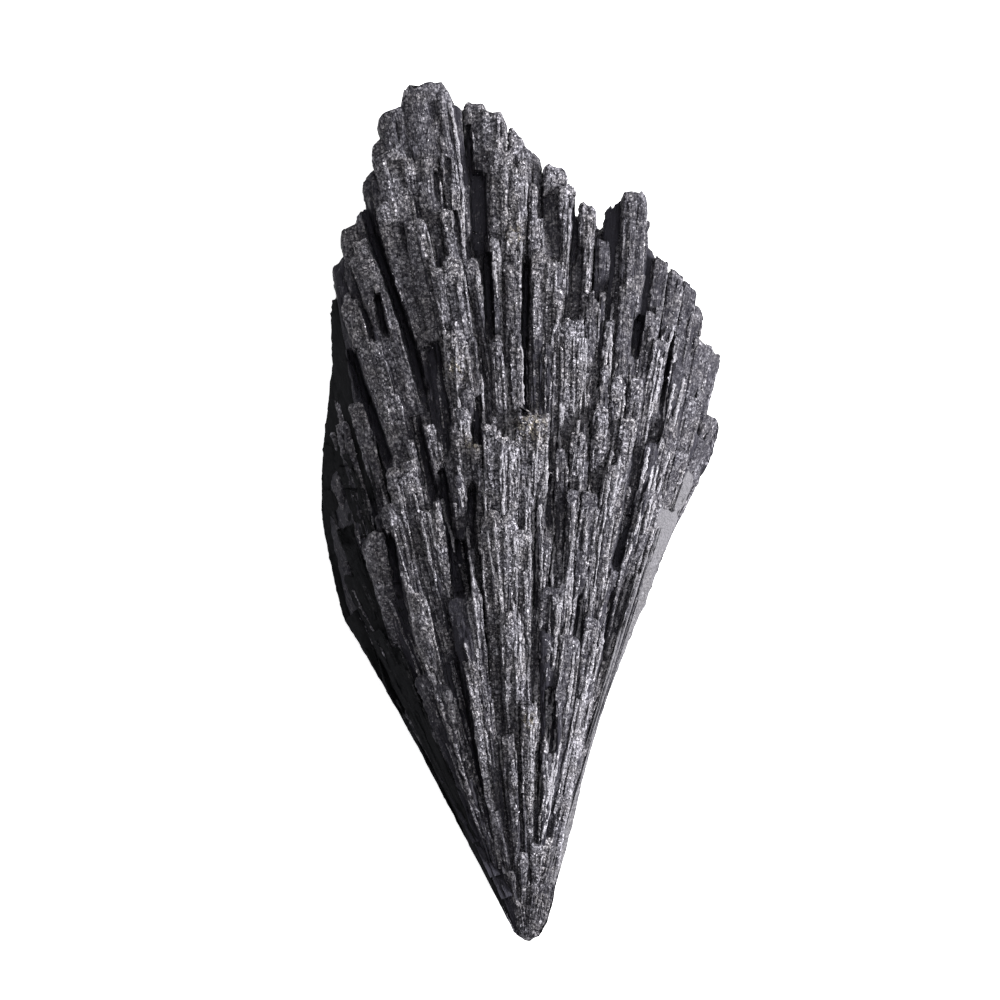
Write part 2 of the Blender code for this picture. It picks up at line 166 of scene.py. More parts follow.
def polar(x, y):
    """A point's distance from the focus, and its direction in degrees to the right of +Y."""
    return np.hypot(x, y), np.degrees(np.arctan2(x, y))


def from_polar(reach, bearing):
    """The point at a distance and in a direction."""
    return reach * np.sin(np.radians(bearing)), reach * np.cos(np.radians(bearing))


def dome(x, y):
    """Height of the front over a point."""
    reach, bearing = polar(x, y)
    rise = FOOT_HEIGHT + RISE * reach
    fall = CREST_HEIGHT - FALL * (reach - CREST_REACH)
    crest = -CREST_ROUNDING * np.log(np.exp(-rise / CREST_ROUNDING) + np.exp(-fall / CREST_ROUNDING))
    fullness = (1 - np.abs(side_share(reach, bearing)) ** DOME_POWER) ** DOME_FULLNESS
    return EDGE_HEIGHT + (crest - EDGE_HEIGHT) * fullness


def back(x, y):
    """Height of the back over a point."""
    reach, bearing = polar(x, y)
    side = np.abs(side_share(reach, bearing)) ** 3
    foot = np.maximum(1 - reach / FOOT_REACH, 0) ** 2
    return BACK_HEIGHT + SIDE_CURL * side + TIP_CURL * (reach / LENGTH) ** 6 + FOOT_CURL * foot


def rim_reach(bearing):
    """How far the fan reaches in a direction."""
    reach = float(LEFT_RIM[-1, 0])
    while reach > 2:
        left, right = rim_at(reach)
        if left <= bearing <= right:
            break
        reach -= 0.5
    return reach


def pointing(bearing):
    """The direction in plan that is some degrees to the right of +Y."""
    angle = math.radians(bearing)
    return Vector((math.sin(angle), math.cos(angle)))


print("the crest is", round(float(dome(0, CREST_REACH)), 1), "mm high")

# %% [markdown]
# ## The strips of crystal to copy
# A blade could be drawn as a box, but then its tip would be a brick's. The real ones are flat strips with rounded
# shoulders and rounded, crusted tips. So a few strips are modelled and copied many times: a wide plate, a narrow
# strip, a hair-thin one, and one with more rings that can bend into a spine. Each starts as a cube that is stretched
# to a bar with its tip at the origin. Its top is cut lengthwise so that it can be fluted, its top edges and tip are
# bevelled, and it is cut across into rings. Its faces are put in a fixed order, because the loose grains are drawn in
# the order of the faces later.

# %% Helpers that start a cube, and pick and cut its edges by their place
def start_cube(name, size):
    """A named cube in edit mode, ready for its edges to be picked."""
    bpy.ops.object.select_all(action="DESELECT")
    bpy.ops.mesh.primitive_cube_add(size=size)
    cube = bpy.context.object
    cube.name = name
    bpy.ops.object.mode_set(mode="EDIT")
    bpy.ops.mesh.select_mode(type="EDGE")
    return cube


def pick_edges(shape, wanted):
    """In edit mode, select only the edges whose two ends pass a test."""
    bpy.ops.mesh.select_all(action="DESELECT")
    mesh = bmesh.from_edit_mesh(shape.data)
    for edge in mesh.edges:
        if wanted(*[vert.co for vert in edge.verts]):
            edge.select_set(True)
    mesh.select_flush_mode()
    bmesh.update_edit_mesh(shape.data)


def cut_edges(shape, wanted, cuts):
    """Cut the edges that pass a test, and the faces between them, into even steps."""
    pick_edges(shape, wanted)
    bpy.ops.mesh.subdivide(number_cuts=cuts)


def runs_along(axis):
    """A test for edges that run along one axis."""
    return lambda one, two: all(abs(one[other] - two[other]) < 1e-5 for other in range(3) if other != axis)


def order_faces(shape):
    """In edit mode, put the faces in order of place, because a bevel leaves a few in an order that changes."""
    mesh = bmesh.from_edit_mesh(shape.data)
    mesh.faces.index_update()
    by_place = sorted(mesh.faces, key=lambda face: tuple(face.calc_center_median()))
    ranks = {face.index: rank for rank, face in enumerate(by_place)}
    mesh.faces.sort(key=lambda face: ranks[face.index])
    bmesh.update_edit_mesh(shape.data)


def finish_cube():
    """Turn every face outwards and leave edit mode."""
    bpy.ops.mesh.select_all(action="SELECT")
    bpy.ops.mesh.normals_make_consistent(inside=False)
    bpy.ops.object.mode_set(mode="OBJECT")


# %% Model the strips
STRIP_LENGTH = 12.0
STRIP_DEPTH = 2.0
CLOSE = 0.01
STRIP_FACES = {
    "top": lambda place: place.z > -CLOSE,
    "tip": lambda place: place.y > -CLOSE,
    "side": lambda place: abs(place.x) > 0.5 - CLOSE,
}


def on_strip_face(face, one, two):
    """Whether both ends of an edge lie on a face of the strip."""
    return STRIP_FACES[face](one) and STRIP_FACES[face](two)


def model_strip(name, rings, columns, roundness, segments):
    """A strip one unit wide, from its root at y = -STRIP_LENGTH to its tip at y = 0, with its top at z = 0."""
    strip = start_cube(name, 1)
    bpy.ops.mesh.select_all(action="SELECT")
    bpy.ops.transform.resize(value=(1, STRIP_LENGTH, STRIP_DEPTH))
    bpy.ops.transform.translate(value=(0, -STRIP_LENGTH / 2, -STRIP_DEPTH / 2))
    cut_edges(strip, lambda one, two: runs_along(0)(one, two) and on_strip_face("top", one, two), columns - 1)
    cut_edges(strip, runs_along(2), 1)
    pick_edges(strip, lambda one, two: sum(on_strip_face(face, one, two) for face in STRIP_FACES) >= 2)
    bpy.ops.mesh.bevel(offset=roundness, segments=segments, profile=0.5, affect="EDGES")
    cut_edges(strip, lambda one, two: abs(one.y - two.y) > STRIP_LENGTH / 2, rings)
    order_faces(strip)
    finish_cube()
    strip.data.uv_layers.active.name = "along"
    for attribute in ("crust", "stain"):
        strip.data.attributes.new(attribute, "FLOAT", "POINT")
    print(name, "has", len(strip.data.vertices), "points and", len(strip.data.polygons), "faces")
    return strip


PLATE = model_strip("plate", rings=34, columns=9, roundness=0.13, segments=2)
NARROW = model_strip("narrow", rings=22, columns=4, roundness=0.2, segments=2)
HAIR = model_strip("hair", rings=12, columns=2, roundness=0.24, segments=1)
SPINE = model_strip("spine", rings=28, columns=2, roundness=0.24, segments=1)
TEMPLATES = {template.name: points_of(template) for template in (PLATE, NARROW, HAIR, SPINE)}

# %% [markdown]
# ## Recesses
# Between the blades the fan has deep clefts, which look black because hardly any light reaches their floors. Each
# is listed as a line from end to end, a width, and a depth below the dome. Whatever grows across a cleft is pressed
# down to its floor, as if it had broken off there.

# %% List the recesses
RECESSES = [
    (-5.9, 83.0, -5.5, 78.0, 0.5, 2.5), (-4.9, 77.8, -4.7, 70.6, 1.6, 2.4), (-4.0, 70.0, -3.7, 62.5, 0.9, 3.0),
    (-16.3, 75.5, -15.3, 71.9, 0.9, 3.0), (-15.3, 71.9, -13.2, 66.0, 0.9, 3.2), (-13.2, 66.0, -11.4, 60.9, 0.9, 3.2),
    (-11.4, 60.9, -10.2, 56.0, 0.9, 3.0), (-17.4, 60.3, -16.4, 56.6, 1.0, 2.0), (-16.2, 56.6, -13.8, 50.0, 0.9, 2.5),
    (-9.3, 60.5, -8.2, 53.8, 1.5, 2.0), (-11.0, 53.2, -9.4, 46.5, 1.0, 2.5), (2.2, 75.5, 2.6, 70.6, 1.6, 0.7),
    (4.7, 75.0, 4.5, 69.5, 0.4, 1.8), (4.9, 70.5, 4.6, 64.6, 1.3, 1.0), (8.2, 67.3, 8.1, 64.2, 0.8, 1.2),
    (12.0, 68.5, 11.2, 63.0, 0.6, 1.4), (11.0, 63.8, 10.7, 60.6, 0.9, 2.5), (-0.1, 69.3, -0.3, 61.0, 0.7, 3.0),
    (-0.3, 61.0, -0.2, 54.5, 0.35, 2.0), (-6.9, 41.0, -6.5, 37.2, 1.8, 3.5), (-5.5, 46.9, -5.7, 41.5, 0.8, 3.0),
    (-8.4, 48.5, -7.7, 41.5, 0.8, 3.0), (10.9, 50.5, 9.7, 43.0, 1.1, 1.3), (9.7, 43.0, 8.8, 39.5, 1.0, 1.9),
    (8.4, 36.5, 7.6, 31.0, 0.4, 1.2), (2.2, 26.7, 2.4, 21.3, 1.0, 1.3), (1.1, 21.3, 1.0, 16.0, 0.5, 2.0),
    (-7.2, 29.5, -6.2, 24.0, 0.9, 2.2), (-6.2, 24.0, -4.3, 14.5, 0.8, 2.2), (-13.6, 42.0, -12.7, 36.0, 0.9, 2.2),
    (2.3, 47.8, 2.2, 43.5, 0.8, 1.8), (0.7, 44.5, 0.8, 38.0, 0.5, 2.0), (5.2, 36.0, 5.0, 32.8, 0.6, 2.0),
    (-14.9, 66.0, -14.2, 62.5, 0.7, 1.6), (14.4, 62.0, 13.2, 54.5, 0.4, 1.6), (-4.9, 55.8, -5.1, 52.0, 0.8, 2.2),
    (-9.5, 85.4, -9.2, 84.0, 0.8, -0.7), (-13.1, 83.6, -12.8, 81.8, 0.5, -0.1), (-9.2, 78.3, -8.9, 74.8, 0.5, -0.9),
    (-8.0, 79.6, -7.9, 77.6, 0.6, -1.5), (-12.6, 73.6, -12.1, 71.2, 0.4, -0.7), (-9.3, 73.6, -8.8, 69.2, 0.6, -1.1),
    (-7.2, 74.5, -6.7, 71.0, 0.4, -1.4), (-10.8, 78.9, -10.4, 75.2, 0.7, -1.7), (-19.0, 48.6, -17.3, 42.6, 3.0, 2.2),
]
RECESS_SHARE = 0.85


def recess_floor(x, y):
    """Height of the recesses' floors over a point, and how much each point is inside one."""
    top = dome(x, y)
    floor_height, inside = top + 9, np.zeros_like(top)
    for start_x, start_y, end_x, end_y, width, depth in RECESSES:
        run_x, run_y = end_x - start_x, end_y - start_y
        share = np.clip(((x - start_x) * run_x + (y - start_y) * run_y) / (run_x ** 2 + run_y ** 2), 0, 1)
        distance = np.hypot(x - start_x - share * run_x, y - start_y - share * run_y)
        here = np.clip((width / 2 + 0.12 - distance) / 0.24, 0, 1)
        floor_height = np.where(here > 0, np.minimum(floor_height, top - RECESS_SHARE * depth), floor_height)
        inside = np.maximum(inside, here)
    return floor_height, inside


print(len(RECESSES), "recesses")

# %% [markdown]
# ## Growing a strip where it belongs
# A copy gets a tip, a root, a width and a height at both ends. Behind the tip it is stretched back to its root, with
# its rings close together near the tip, where the detail is. The tip's outline is rounded and ragged, and the top is
# fluted lengthwise by a small grid of random heights. Away from its tip it stays within the rim. The copy also learns
# two things that the finish reads later: how crusty each point is, with less crust on its walls and on the floors of
# recesses as painted shade, and whether it carries the warm stain. Its map holds real millimetres across and along
# the blade, moved by a random amount so that no two blades are alike.

# %% Grow one strip
# A template's bevelled lip reaches down to LIP. Strips are fully held within the rim below the first of these
# distances and free beyond the second, and they never come closer than ABOVE_BACK to the back.
LIP = 0.45
HELD_BELOW, FREE_BEYOND = 46, 60
ABOVE_BACK = 0.3
# Where the warm stains are, and how far each spreads.
STAINS = [((-7.2, 58.9), 1.0), ((0.3, 53.2), 1.6), ((-1.2, 72.4), 1.0), ((-5.4, 51.4), 0.8), ((0.2, 23.9), 0.8)]


def stain_at(x, y):
    """How strong the warm stain is over a point."""
    total = np.zeros_like(x)
    for (stain_x, stain_y), size in STAINS:
        total += np.exp(-((x - stain_x) ** 2 + (y - stain_y) ** 2) / size ** 2)
    return np.minimum(total, 1)


def uneven(across, along, across_steps, along_steps, amount):
    """Random heights on a small grid, read smoothly at places from 0 to 1 across and along."""
    rows = range(across_steps + 1)
    grid = np.array([[chance.uniform(-amount, amount) for _ in range(along_steps + 1)] for _ in rows])
    u, v = across * across_steps, along * along_steps
    column, row = np.minimum(u.astype(int), across_steps - 1), np.minimum(v.astype(int), along_steps - 1)
    u, v = u - column, v - row
    u, v = u * u * (3 - 2 * u), v * v * (3 - 2 * v)
    near = grid[column, row] * (1 - u) + grid[column + 1, row] * u
    far = grid[column, row + 1] * (1 - u) + grid[column + 1, row + 1] * u
    return near * (1 - v) + far * v


def within_rim(x, y, share, held):
    """Places moved inside the rim: all along a held strip, and only away from the tip of any other."""
    reach, bearing = polar(x, y)
    left, right = rim_at(reach)
    inset = np.degrees((0.35 * np.clip((7 - reach) / 4, 0, 1) - 0.2) / np.maximum(reach, 1))
    hold = np.maximum(np.clip((HELD_BELOW - reach) / 5, 0, 1), np.clip((share - 0.25) * 6, 0, 1))
    hold = 1.0 if held else hold * np.clip((FREE_BEYOND - reach) / 3, 0, 1)
    return from_polar(reach, bearing + hold * (np.clip(bearing, left + inset, right - inset) - bearing))


def copy_of(template, places, crust, flat):
    """A copy of a strip with its points in new places, and with what the finish reads."""
    strip = bpy.data.objects.new(template.name, template.data.copy())
    bpy.context.scene.collection.objects.link(strip)
    strip.data.vertices.foreach_set("co", np.column_stack(places).ravel())
    set_values(strip.data, "crust", crust)
    set_values(strip.data, "stain", stain_at(*places[:2]))
    set_map(strip.data, flat)
    return strip


def grow(template, tip, root, width, heights, roll, slant, depth, crust, taper, up=1, held=False):
    """A copy of a strip from root to tip. heights are those of its top at the root and at the tip, roll is how much
    the top rises across it, slant how much sooner its right corner ends, depth how thick it is, and taper the root's
    share of the width. up is -1 for a strip that faces down, and a held strip never crosses the rim."""
    places, corners = TEMPLATES[template.name]
    tip, root = Vector(tip), Vector(root)
    along = (tip - root).normalized()
    across = Vector((along.y, -along.x))
    length = (tip - root).length
    side, behind, below = places[:, 0], -places[:, 1], -places[:, 2]
    tip_scale = min(width, 1.2)
    stretch = np.clip((behind - 1) / (STRIP_LENGTH - 1), 0, 1) ** 1.5 * (length - tip_scale)
    back_from_tip = tip_scale * np.minimum(behind, 1) + stretch
    share = back_from_tip / length
    offset = side * width * (1 - (1 - taper) * share) * (1 + 0.06 * below)
    across_share = np.clip(side + 0.5, 0, 1)
    ragged = uneven(across_share, 0 * share, max(2, round(width / 0.55)), 1, 0.12 + 0.04 * width)
    near_tip = np.clip(1 - back_from_tip / max(1.6 * width, 1.0), 0, 1)
    square = chance.uniform(3, 6) + width
    broken = 0.25 * np.sin(7 * offset + 5.3 * tip.x + 5 * below) * np.minimum(below, 1)
    setback = 0.26 * width * np.abs(2 * side) ** square + slant * side + ragged + broken + 0.10 * below * depth
    x = tip.x - along.x * (back_from_tip + setback * near_tip) + across.x * offset
    y = tip.y - along.y * (back_from_tip + setback * near_tip) + across.y * offset
    x, y = within_rim(x, y, share, held)
    shoulder = min(width, 1.5)
    sunk = np.where(below < LIP, below * shoulder, LIP * shoulder + (below - LIP) / (STRIP_DEPTH - LIP) * depth)
    waves = max(3, round(length / 3))
    flutes = uneven(across_share, share, max(2, round(width / 0.33)), waves, min(0.12, 0.2 * width))
    swell = uneven(0 * share, share, 1, waves, 0.10)
    top = heights[1] + (heights[0] - heights[1]) * share + roll * offset
    top = top + up * (flutes + swell - 0.10 * width * (2 * side) ** 2 - 0.25 * near_tip ** 4)
    z = top - up * sunk
    carved = 0.0
    if up > 0:
        floor_height, inside = recess_floor(x, y)
        pressed = np.minimum(z, floor_height - 0.25 * below + 0.5 * flutes)
        carved = np.clip(z - pressed, 0, None) * inside
        z = z + (pressed - z) * inside
        z = np.maximum(z, back(x, y) + ABOVE_BACK)
    own = chance.random()
    # Less crust on the walls below the lip and on the floors of recesses: painted shade between the blades.
    painted_wall_and_recess_shade = np.maximum(sunk - 0.4 - 3 * near_tip ** 6, 0) / 1.5 + carved / 0.7
    dust = crust * (0.6 + 0.4 * np.exp(-back_from_tip / 4)) * np.exp(-painted_wall_and_recess_shade)
    flat = np.column_stack((offset + sunk + 40 * own, back_from_tip + 90 * own))
    return copy_of(template, (x, y, z), dust, flat[corners])


def gather(name, strips):
    """Join grown strips into one piece."""
    select_only(strips)
    bpy.ops.object.join()
    piece = bpy.context.object
    piece.name = name
    piece.data.name = name
    return piece


# %% [markdown]
# ## The front's blades
# These are the blades that give the fan its character. Each has the place of its tip and of its root, its width, how
# far its tip stands above the dome, how much sooner its right corner ends than its left one, and how crusty it is,
# from 0 for clean glossy crystal to 1 for full crust, and a little above 1 where it is paler still.

# %% List the front's blades
Blade = namedtuple("Blade", "tip_x tip_y root_x root_y width lift slant crust")

FRONT = {
    "crown": [
        (-10.4, 87.3, -5.5, 60.0, 4.9, 1.2, 0.2, 0.6), (-7.1, 85.1, -4.5, 62.0, 1.0, -0.2, 0.8, 0.2),
        (-13.6, 84.9, -8.5, 60.0, 3.1, 0.6, -0.9, 0.5), (-15.0, 81.5, -10.0, 58.0, 1.6, 0.2, -1.2, 0.5),
        (-15.8, 78.4, -10.5, 52.0, 1.8, -0.8, -1.2, 0.2), (-13.8, 80.6, -8.6, 52.0, 3.2, 1.5, -0.3, 0.8),
        (-12.0, 79.9, -10.4, 71.0, 1.3, 2.1, 0.0, 0.9), (-10.2, 80.0, -8.4, 67.0, 2.4, 2.2, 0.2, 0.7),
        (-8.0, 80.2, -6.4, 67.0, 1.5, 2.2, 0.3, 0.8), (-7.8, 74.8, -5.6, 60.0, 1.9, 2.7, 0.3, 0.9),
        (-11.4, 73.7, -7.6, 56.0, 2.4, 2.8, 0.3, 0.9), (-14.2, 75.5, -8.9, 54.0, 2.2, 1.9, -0.5, 0.9),
        (-9.2, 69.9, -6.4, 56.0, 1.5, 2.9, 0.0, 0.8), (-7.5, 69.9, -5.2, 54.0, 2.0, 2.9, 0.2, 0.9),
        (-5.8, 69.9, -2.9, 54.3, 1.2, 1.8, 0.0, 0.6), (-5.0, 67.5, -2.4, 53.0, 1.0, 2.0, 0.3, 0.8),
    ],
    "second_crown": [
        (-5.3, 85.5, -4.6, 71.0, 2.2, -0.3, -0.2, 0.7), (-3.4, 84.6, -3.0, 60.0, 2.6, 0.4, 1.0, 0.92),
        (-2.6, 80.8, -2.8, 62.0, 2.2, 1.8, 0.2, 1.03), (-1.1, 82.5, -1.3, 62.0, 1.5, 0.0, 1.0, 0.81),
        (0.0, 81.0, -0.4, 62.0, 1.1, -0.4, 0.9, 0.7), (-0.9, 79.0, -1.2, 62.0, 1.8, 1.8, 0.3, 1.13),
        (0.9, 80.2, 0.6, 64.0, 1.1, -0.6, 0.9, 0.49), (0.6, 77.5, 0.3, 60.0, 0.9, 1.2, 0.2, 1.03),
        (2.8, 79.1, 2.5, 62.0, 2.4, 0.2, 0.4, 0.92), (3.6, 77.2, 3.2, 64.0, 1.0, 1.4, 0.0, 1.13),
        (4.4, 77.2, 3.7, 60.0, 0.9, 0.9, 0.5, 1.03), (6.0, 75.2, 5.1, 56.0, 1.6, 0.2, 0.7, 0.81),
        (6.0, 72.0, 5.3, 58.0, 1.0, 1.4, 0.0, 1.13), (-3.6, 71.8, -3.0, 58.0, 1.6, 2.0, 0.2, 1.13),
        (-1.4, 72.6, -1.2, 60.0, 1.6, 1.6, -0.2, 1.13), (0.9, 74.0, 0.8, 60.0, 1.5, 1.4, 0.2, 1.03),
    ],
    "shoulder": [
        (8.7, 75.3, 7.6, 60.0, 1.8, -0.8, -2.2, 0.0), (10.7, 76.5, 9.6, 56.0, 2.5, 2.0, 0.2, 0.52),
        (7.5, 71.8, 6.8, 58.0, 1.4, 0.4, 0.2, 0.25), (11.9, 73.7, 11.1, 64.0, 0.5, 1.0, 0.2, 0.32),
        (12.2, 70.8, 10.4, 56.0, 1.2, -0.8, 0.9, 0.07), (13.4, 69.9, 10.9, 52.0, 1.4, 0.4, 0.8, 0.39),
        (14.9, 68.7, 12.4, 52.0, 1.6, 0.3, 0.9, 0.39), (16.3, 67.3, 13.6, 52.0, 1.5, 0.0, 1.0, 0.39),
        (17.1, 65.0, 14.2, 50.0, 1.3, -0.4, 0.9, 0.32), (10.2, 67.5, 9.0, 54.0, 2.0, 2.6, 0.0, 0.57),
        (7.5, 66.5, 6.7, 54.0, 0.7, 1.4, 0.0, 0.57), (8.2, 63.8, 7.2, 54.0, 0.9, 1.9, 0.0, 0.57),
        (12.4, 64.5, 10.6, 52.0, 1.4, 1.0, 0.4, 0.52), (13.6, 61.6, 11.0, 46.0, 2.2, 1.8, 0.4, 0.57),
        (15.3, 59.4, 12.9, 46.0, 1.6, 1.6, 0.2, 0.19), (17.6, 61.8, 14.4, 46.0, 2.0, 0.2, 0.9, 0.45),
        (18.7, 60.9, 15.0, 46.0, 1.7, -0.6, 0.7, 0.32),
    ],
    "brow": [
        (-3.2, 69.0, -2.8, 55.0, 0.7, 1.4, 0.0, 0.3), (-1.5, 69.8, -1.0, 54.0, 1.7, 2.0, 0.0, 0.7),
        (-1.0, 62.3, -0.7, 52.0, 1.6, 2.2, 0.2, 0.8), (1.5, 70.0, 1.2, 52.0, 2.8, 2.2, -0.2, 0.9),
        (3.0, 67.0, 2.6, 54.0, 1.0, 2.2, 0.0, 0.9), (1.0, 62.2, 0.9, 50.0, 1.2, 0.8, 0.0, 0.2),
        (2.2, 61.5, 1.9, 50.0, 1.2, 1.0, 0.0, 0.3), (6.5, 65.7, 5.7, 48.0, 1.4, 1.8, 0.2, 0.7),
        (4.5, 63.7, 4.1, 48.0, 2.3, 1.9, 0.2, 0.9), (7.8, 59.4, 7.0, 49.0, 0.9, 2.0, 0.0, 0.5),
        (9.1, 57.9, 8.0, 48.0, 1.5, 1.9, 0.2, 0.9), (10.9, 58.0, 9.3, 47.0, 1.3, 2.3, 0.2, 0.8),
        (-7.4, 62.6, -5.6, 50.0, 2.2, 2.2, 0.2, 1.0), (-5.6, 62.0, -4.4, 50.0, 1.0, 1.4, 0.0, 0.5),
        (-3.2, 62.4, -2.6, 52.0, 1.2, 1.9, 0.0, 0.8), (-6.0, 57.0, -4.8, 46.0, 1.6, 1.2, 0.2, 0.4),
        (-9.6, 60.0, -8.2, 50.0, 2.0, 0.3, 0.0, 0.15), (10.0, 54.0, 8.6, 44.0, 1.4, 1.9, 0.2, 0.9),
        (7.3, 54.9, 6.3, 44.0, 1.4, 1.8, 0.0, 0.8), (5.0, 52.5, 4.6, 40.0, 1.5, 1.8, 0.0, 0.8),
        (3.4, 51.0, 3.2, 40.0, 1.2, 1.0, 0.0, 0.4),
    ],
    "left_side": [
        (-17.8, 73.2, -15.0, 56.0, 2.0, -0.8, -0.7, 0.6), (-16.8, 71.9, -12.4, 56.0, 1.5, 0.8, -0.2, 0.9),
        (-16.2, 69.8, -10.4, 51.0, 2.6, 1.7, 0.4, 0.8), (-17.9, 65.8, -12.6, 48.0, 1.8, 1.3, -0.4, 0.8),
        (-15.6, 61.5, -12.0, 48.0, 2.0, 1.9, 0.0, 0.8), (-18.6, 69.8, -15.6, 50.0, 2.0, -1.6, -1.0, 0.1),
        (-18.7, 56.2, -15.6, 42.0, 1.3, 0.0, -0.2, 0.8), (-18.6, 53.6, -15.4, 40.0, 1.4, 0.2, -0.3, 0.5),
        (-17.2, 55.6, -13.4, 42.0, 1.5, 1.3, 0.2, 0.7), (-14.0, 56.6, -11.0, 44.0, 2.2, 2.2, 0.3, 0.9),
        (-15.5, 42.6, -9.2, 18.0, 2.6, 1.3, -0.4, 0.75), (-16.9, 43.6, -12.0, 24.0, 1.0, -0.6, -0.4, 0.1),
        (-16.5, 74.6, -12.6, 58.0, 1.5, 0.0, -0.6, 0.5),
    ],
    "ledge": [
        (-11.6, 51.9, -9.4, 42.0, 1.0, 1.3, 0.3, 0.8), (-10.0, 53.4, -7.4, 42.0, 1.6, 1.5, 0.2, 0.8),
        (-6.7, 54.8, -5.6, 40.0, 2.4, 2.1, 0.9, 0.8), (-3.8, 53.5, -3.4, 44.0, 1.4, 2.1, 0.2, 0.9),
        (-5.1, 51.6, -4.6, 42.0, 1.0, 2.1, 0.0, 0.9), (-3.0, 52.2, -2.9, 36.0, 2.7, 2.7, -0.3, 1.0),
        (-1.4, 51.8, -1.6, 40.0, 1.2, 2.2, 0.0, 0.9), (0.5, 54.2, 0.3, 45.0, 3.2, 2.8, 0.3, 1.0),
        (-2.8, 43.9, -2.4, 22.0, 3.8, 2.9, -0.3, 1.0), (-0.5, 42.9, -0.2, 26.0, 1.3, 2.5, 0.2, 0.9),
        (-1.6, 34.0, -1.3, 18.0, 2.4, 2.6, 0.0, 0.9), (-12.5, 48.8, -7.6, 24.0, 3.1, 2.0, 0.4, 0.9),
        (-13.5, 45.5, -8.6, 24.0, 2.3, 2.3, -0.2, 0.6), (-10.0, 44.8, -6.4, 26.0, 2.2, 1.4, 0.3, 0.8),
        (-9.0, 45.8, -7.2, 38.0, 0.8, 1.5, 0.0, 0.4), (-7.0, 47.9, -6.2, 40.0, 1.6, 1.4, 0.2, 0.3),
        (-6.9, 36.2, -3.9, 16.0, 2.2, 1.7, 0.1, 0.12), (-5.4, 37.3, -3.7, 22.0, 1.3, 2.2, 0.0, 0.8),
        (-5.8, 41.9, -5.0, 32.0, 0.9, 1.6, 0.0, 0.4), (-11.0, 36.5, -7.6, 22.0, 1.6, 2.2, 0.2, 0.9),
    ],
    "right_side": [
        (18.5, 53.2, 10.9, 37.0, 1.8, -0.2, 0.5, 0.4), (17.0, 49.6, 9.5, 33.3, 1.8, -0.6, 0.6, 0.4),
        (15.0, 46.6, 8.4, 32.0, 1.5, 0.1, 0.8, 0.4), (13.4, 43.4, 7.4, 30.0, 1.4, -0.1, 0.7, 0.4),
        (18.6, 54.2, 14.4, 40.0, 1.9, -0.2, 0.5, 0.4), (16.8, 56.2, 13.2, 42.0, 1.8, 1.2, 0.3, 0.54),
        (14.4, 53.4, 11.5, 40.0, 1.5, 1.7, 0.2, 0.48), (12.6, 51.5, 10.0, 38.0, 1.6, 1.0, 0.0, 0.14),
        (8.9, 49.2, 5.9, 30.0, 2.5, 2.1, 0.2, 0.6), (6.2, 46.6, 4.8, 30.0, 1.7, 2.2, 0.0, 0.4),
        (4.5, 47.0, 4.0, 32.0, 1.2, 1.9, 0.0, 0.48), (12.7, 46.9, 9.2, 34.5, 2.1, 2.0, 0.3, 0.6),
        (14.0, 46.6, 11.6, 38.0, 0.8, 0.9, 0.4, 0.48), (9.4, 41.5, 6.7, 28.0, 1.2, 1.2, 0.2, 0.4),
        (2.8, 37.1, 2.6, 24.0, 3.0, 1.5, 0.3, 0.34), (2.1, 32.7, 2.0, 16.0, 1.7, 1.7, 0.9, 0.07),
        (4.3, 32.5, 2.2, 10.0, 2.1, 2.0, 0.8, 0.48), (6.5, 34.2, 3.4, 13.0, 1.4, 1.8, 0.2, 0.54),
        (8.0, 29.6, 3.2, 11.0, 1.1, 0.7, 0.3, 0.88), (6.1, 28.3, 2.2, 7.0, 1.6, 1.8, 0.3, 0.6),
    ],
    "foot": [
        (3.1, 26.9, 2.4, 12.0, 0.9, 2.0, 0.0, 0.54), (4.2, 25.5, 3.0, 10.0, 1.2, 1.7, 0.0, 0.39),
        (0.0, 25.7, 0.1, 8.0, 1.4, 2.3, 0.0, 0.77), (2.0, 20.7, 1.2, 7.0, 0.9, 2.0, 0.0, 0.3),
        (-5.7, 30.0, -2.4, 7.0, 1.3, 1.9, 0.0, 0.7), (-4.4, 27.5, -2.0, 8.0, 1.4, 1.6, 0.0, 0.39),
        (-1.9, 22.5, -0.9, 6.0, 1.3, 1.8, 0.0, 0.46), (-1.5, 19.0, -0.8, 6.0, 1.0, 1.9, 0.0, 0.62),
        (2.2, 12.2, 0.9, 3.6, 1.0, 0.3, 0.0, 0.91), (1.0, 11.6, 0.4, 3.4, 1.2, 0.4, 0.0, 0.91),
        (-0.4, 10.6, -0.2, 3.4, 1.1, 0.2, 0.0, 0.83), (-8.6, 27.5, -3.0, 7.0, 1.6, 0.9, 0.0, 0.3),
        (-10.6, 28.5, -3.8, 8.0, 1.6, 0.5, -0.2, 0.23), (-5.8, 18.0, -2.0, 5.0, 1.2, 0.8, 0.0, 0.3),
        (3.6, 16.5, 1.4, 4.6, 1.2, 0.8, 0.2, 0.46), (-3.2, 14.8, -1.1, 4.0, 1.0, 0.6, 0.0, 0.46),
        (-1.7, 9.0, -0.7, 3.2, 0.8, 0.1, 0.0, 0.46), (0.6, 7.4, 0.3, 3.2, 0.7, 0.0, 0.0, 0.46),
    ],
}
NAMED = [Blade(*row) for rows in FRONT.values() for row in rows]
print(len(NAMED), "named blades")

# %% [markdown]
# ## From a blade to a bundle
# A real blade isn't one slab. Narrower strips grew along it and ended a little sooner, and hair-thin ones run over
# them. That is what makes its streaks and its steps. So each blade becomes one plate, a few narrow strips that
# stand a little proud of it, and some hairs. One of the hairs often runs right along the right edge, with more crust
# than its blade: a painted highlight on the edge that faces the lamp.

# %% Turn a blade into its strips
ROLL_STEP = 0.8
ROOT_SINK = 0.9
PLATE_FROM = 1.25


def roll_over(surface, place, across, share):
    """A share of how steeply a surface rises across a blade."""
    step = ROLL_STEP * across
    return share * float(surface(*(place + step)) - surface(*(place - step))) / (2 * ROLL_STEP)


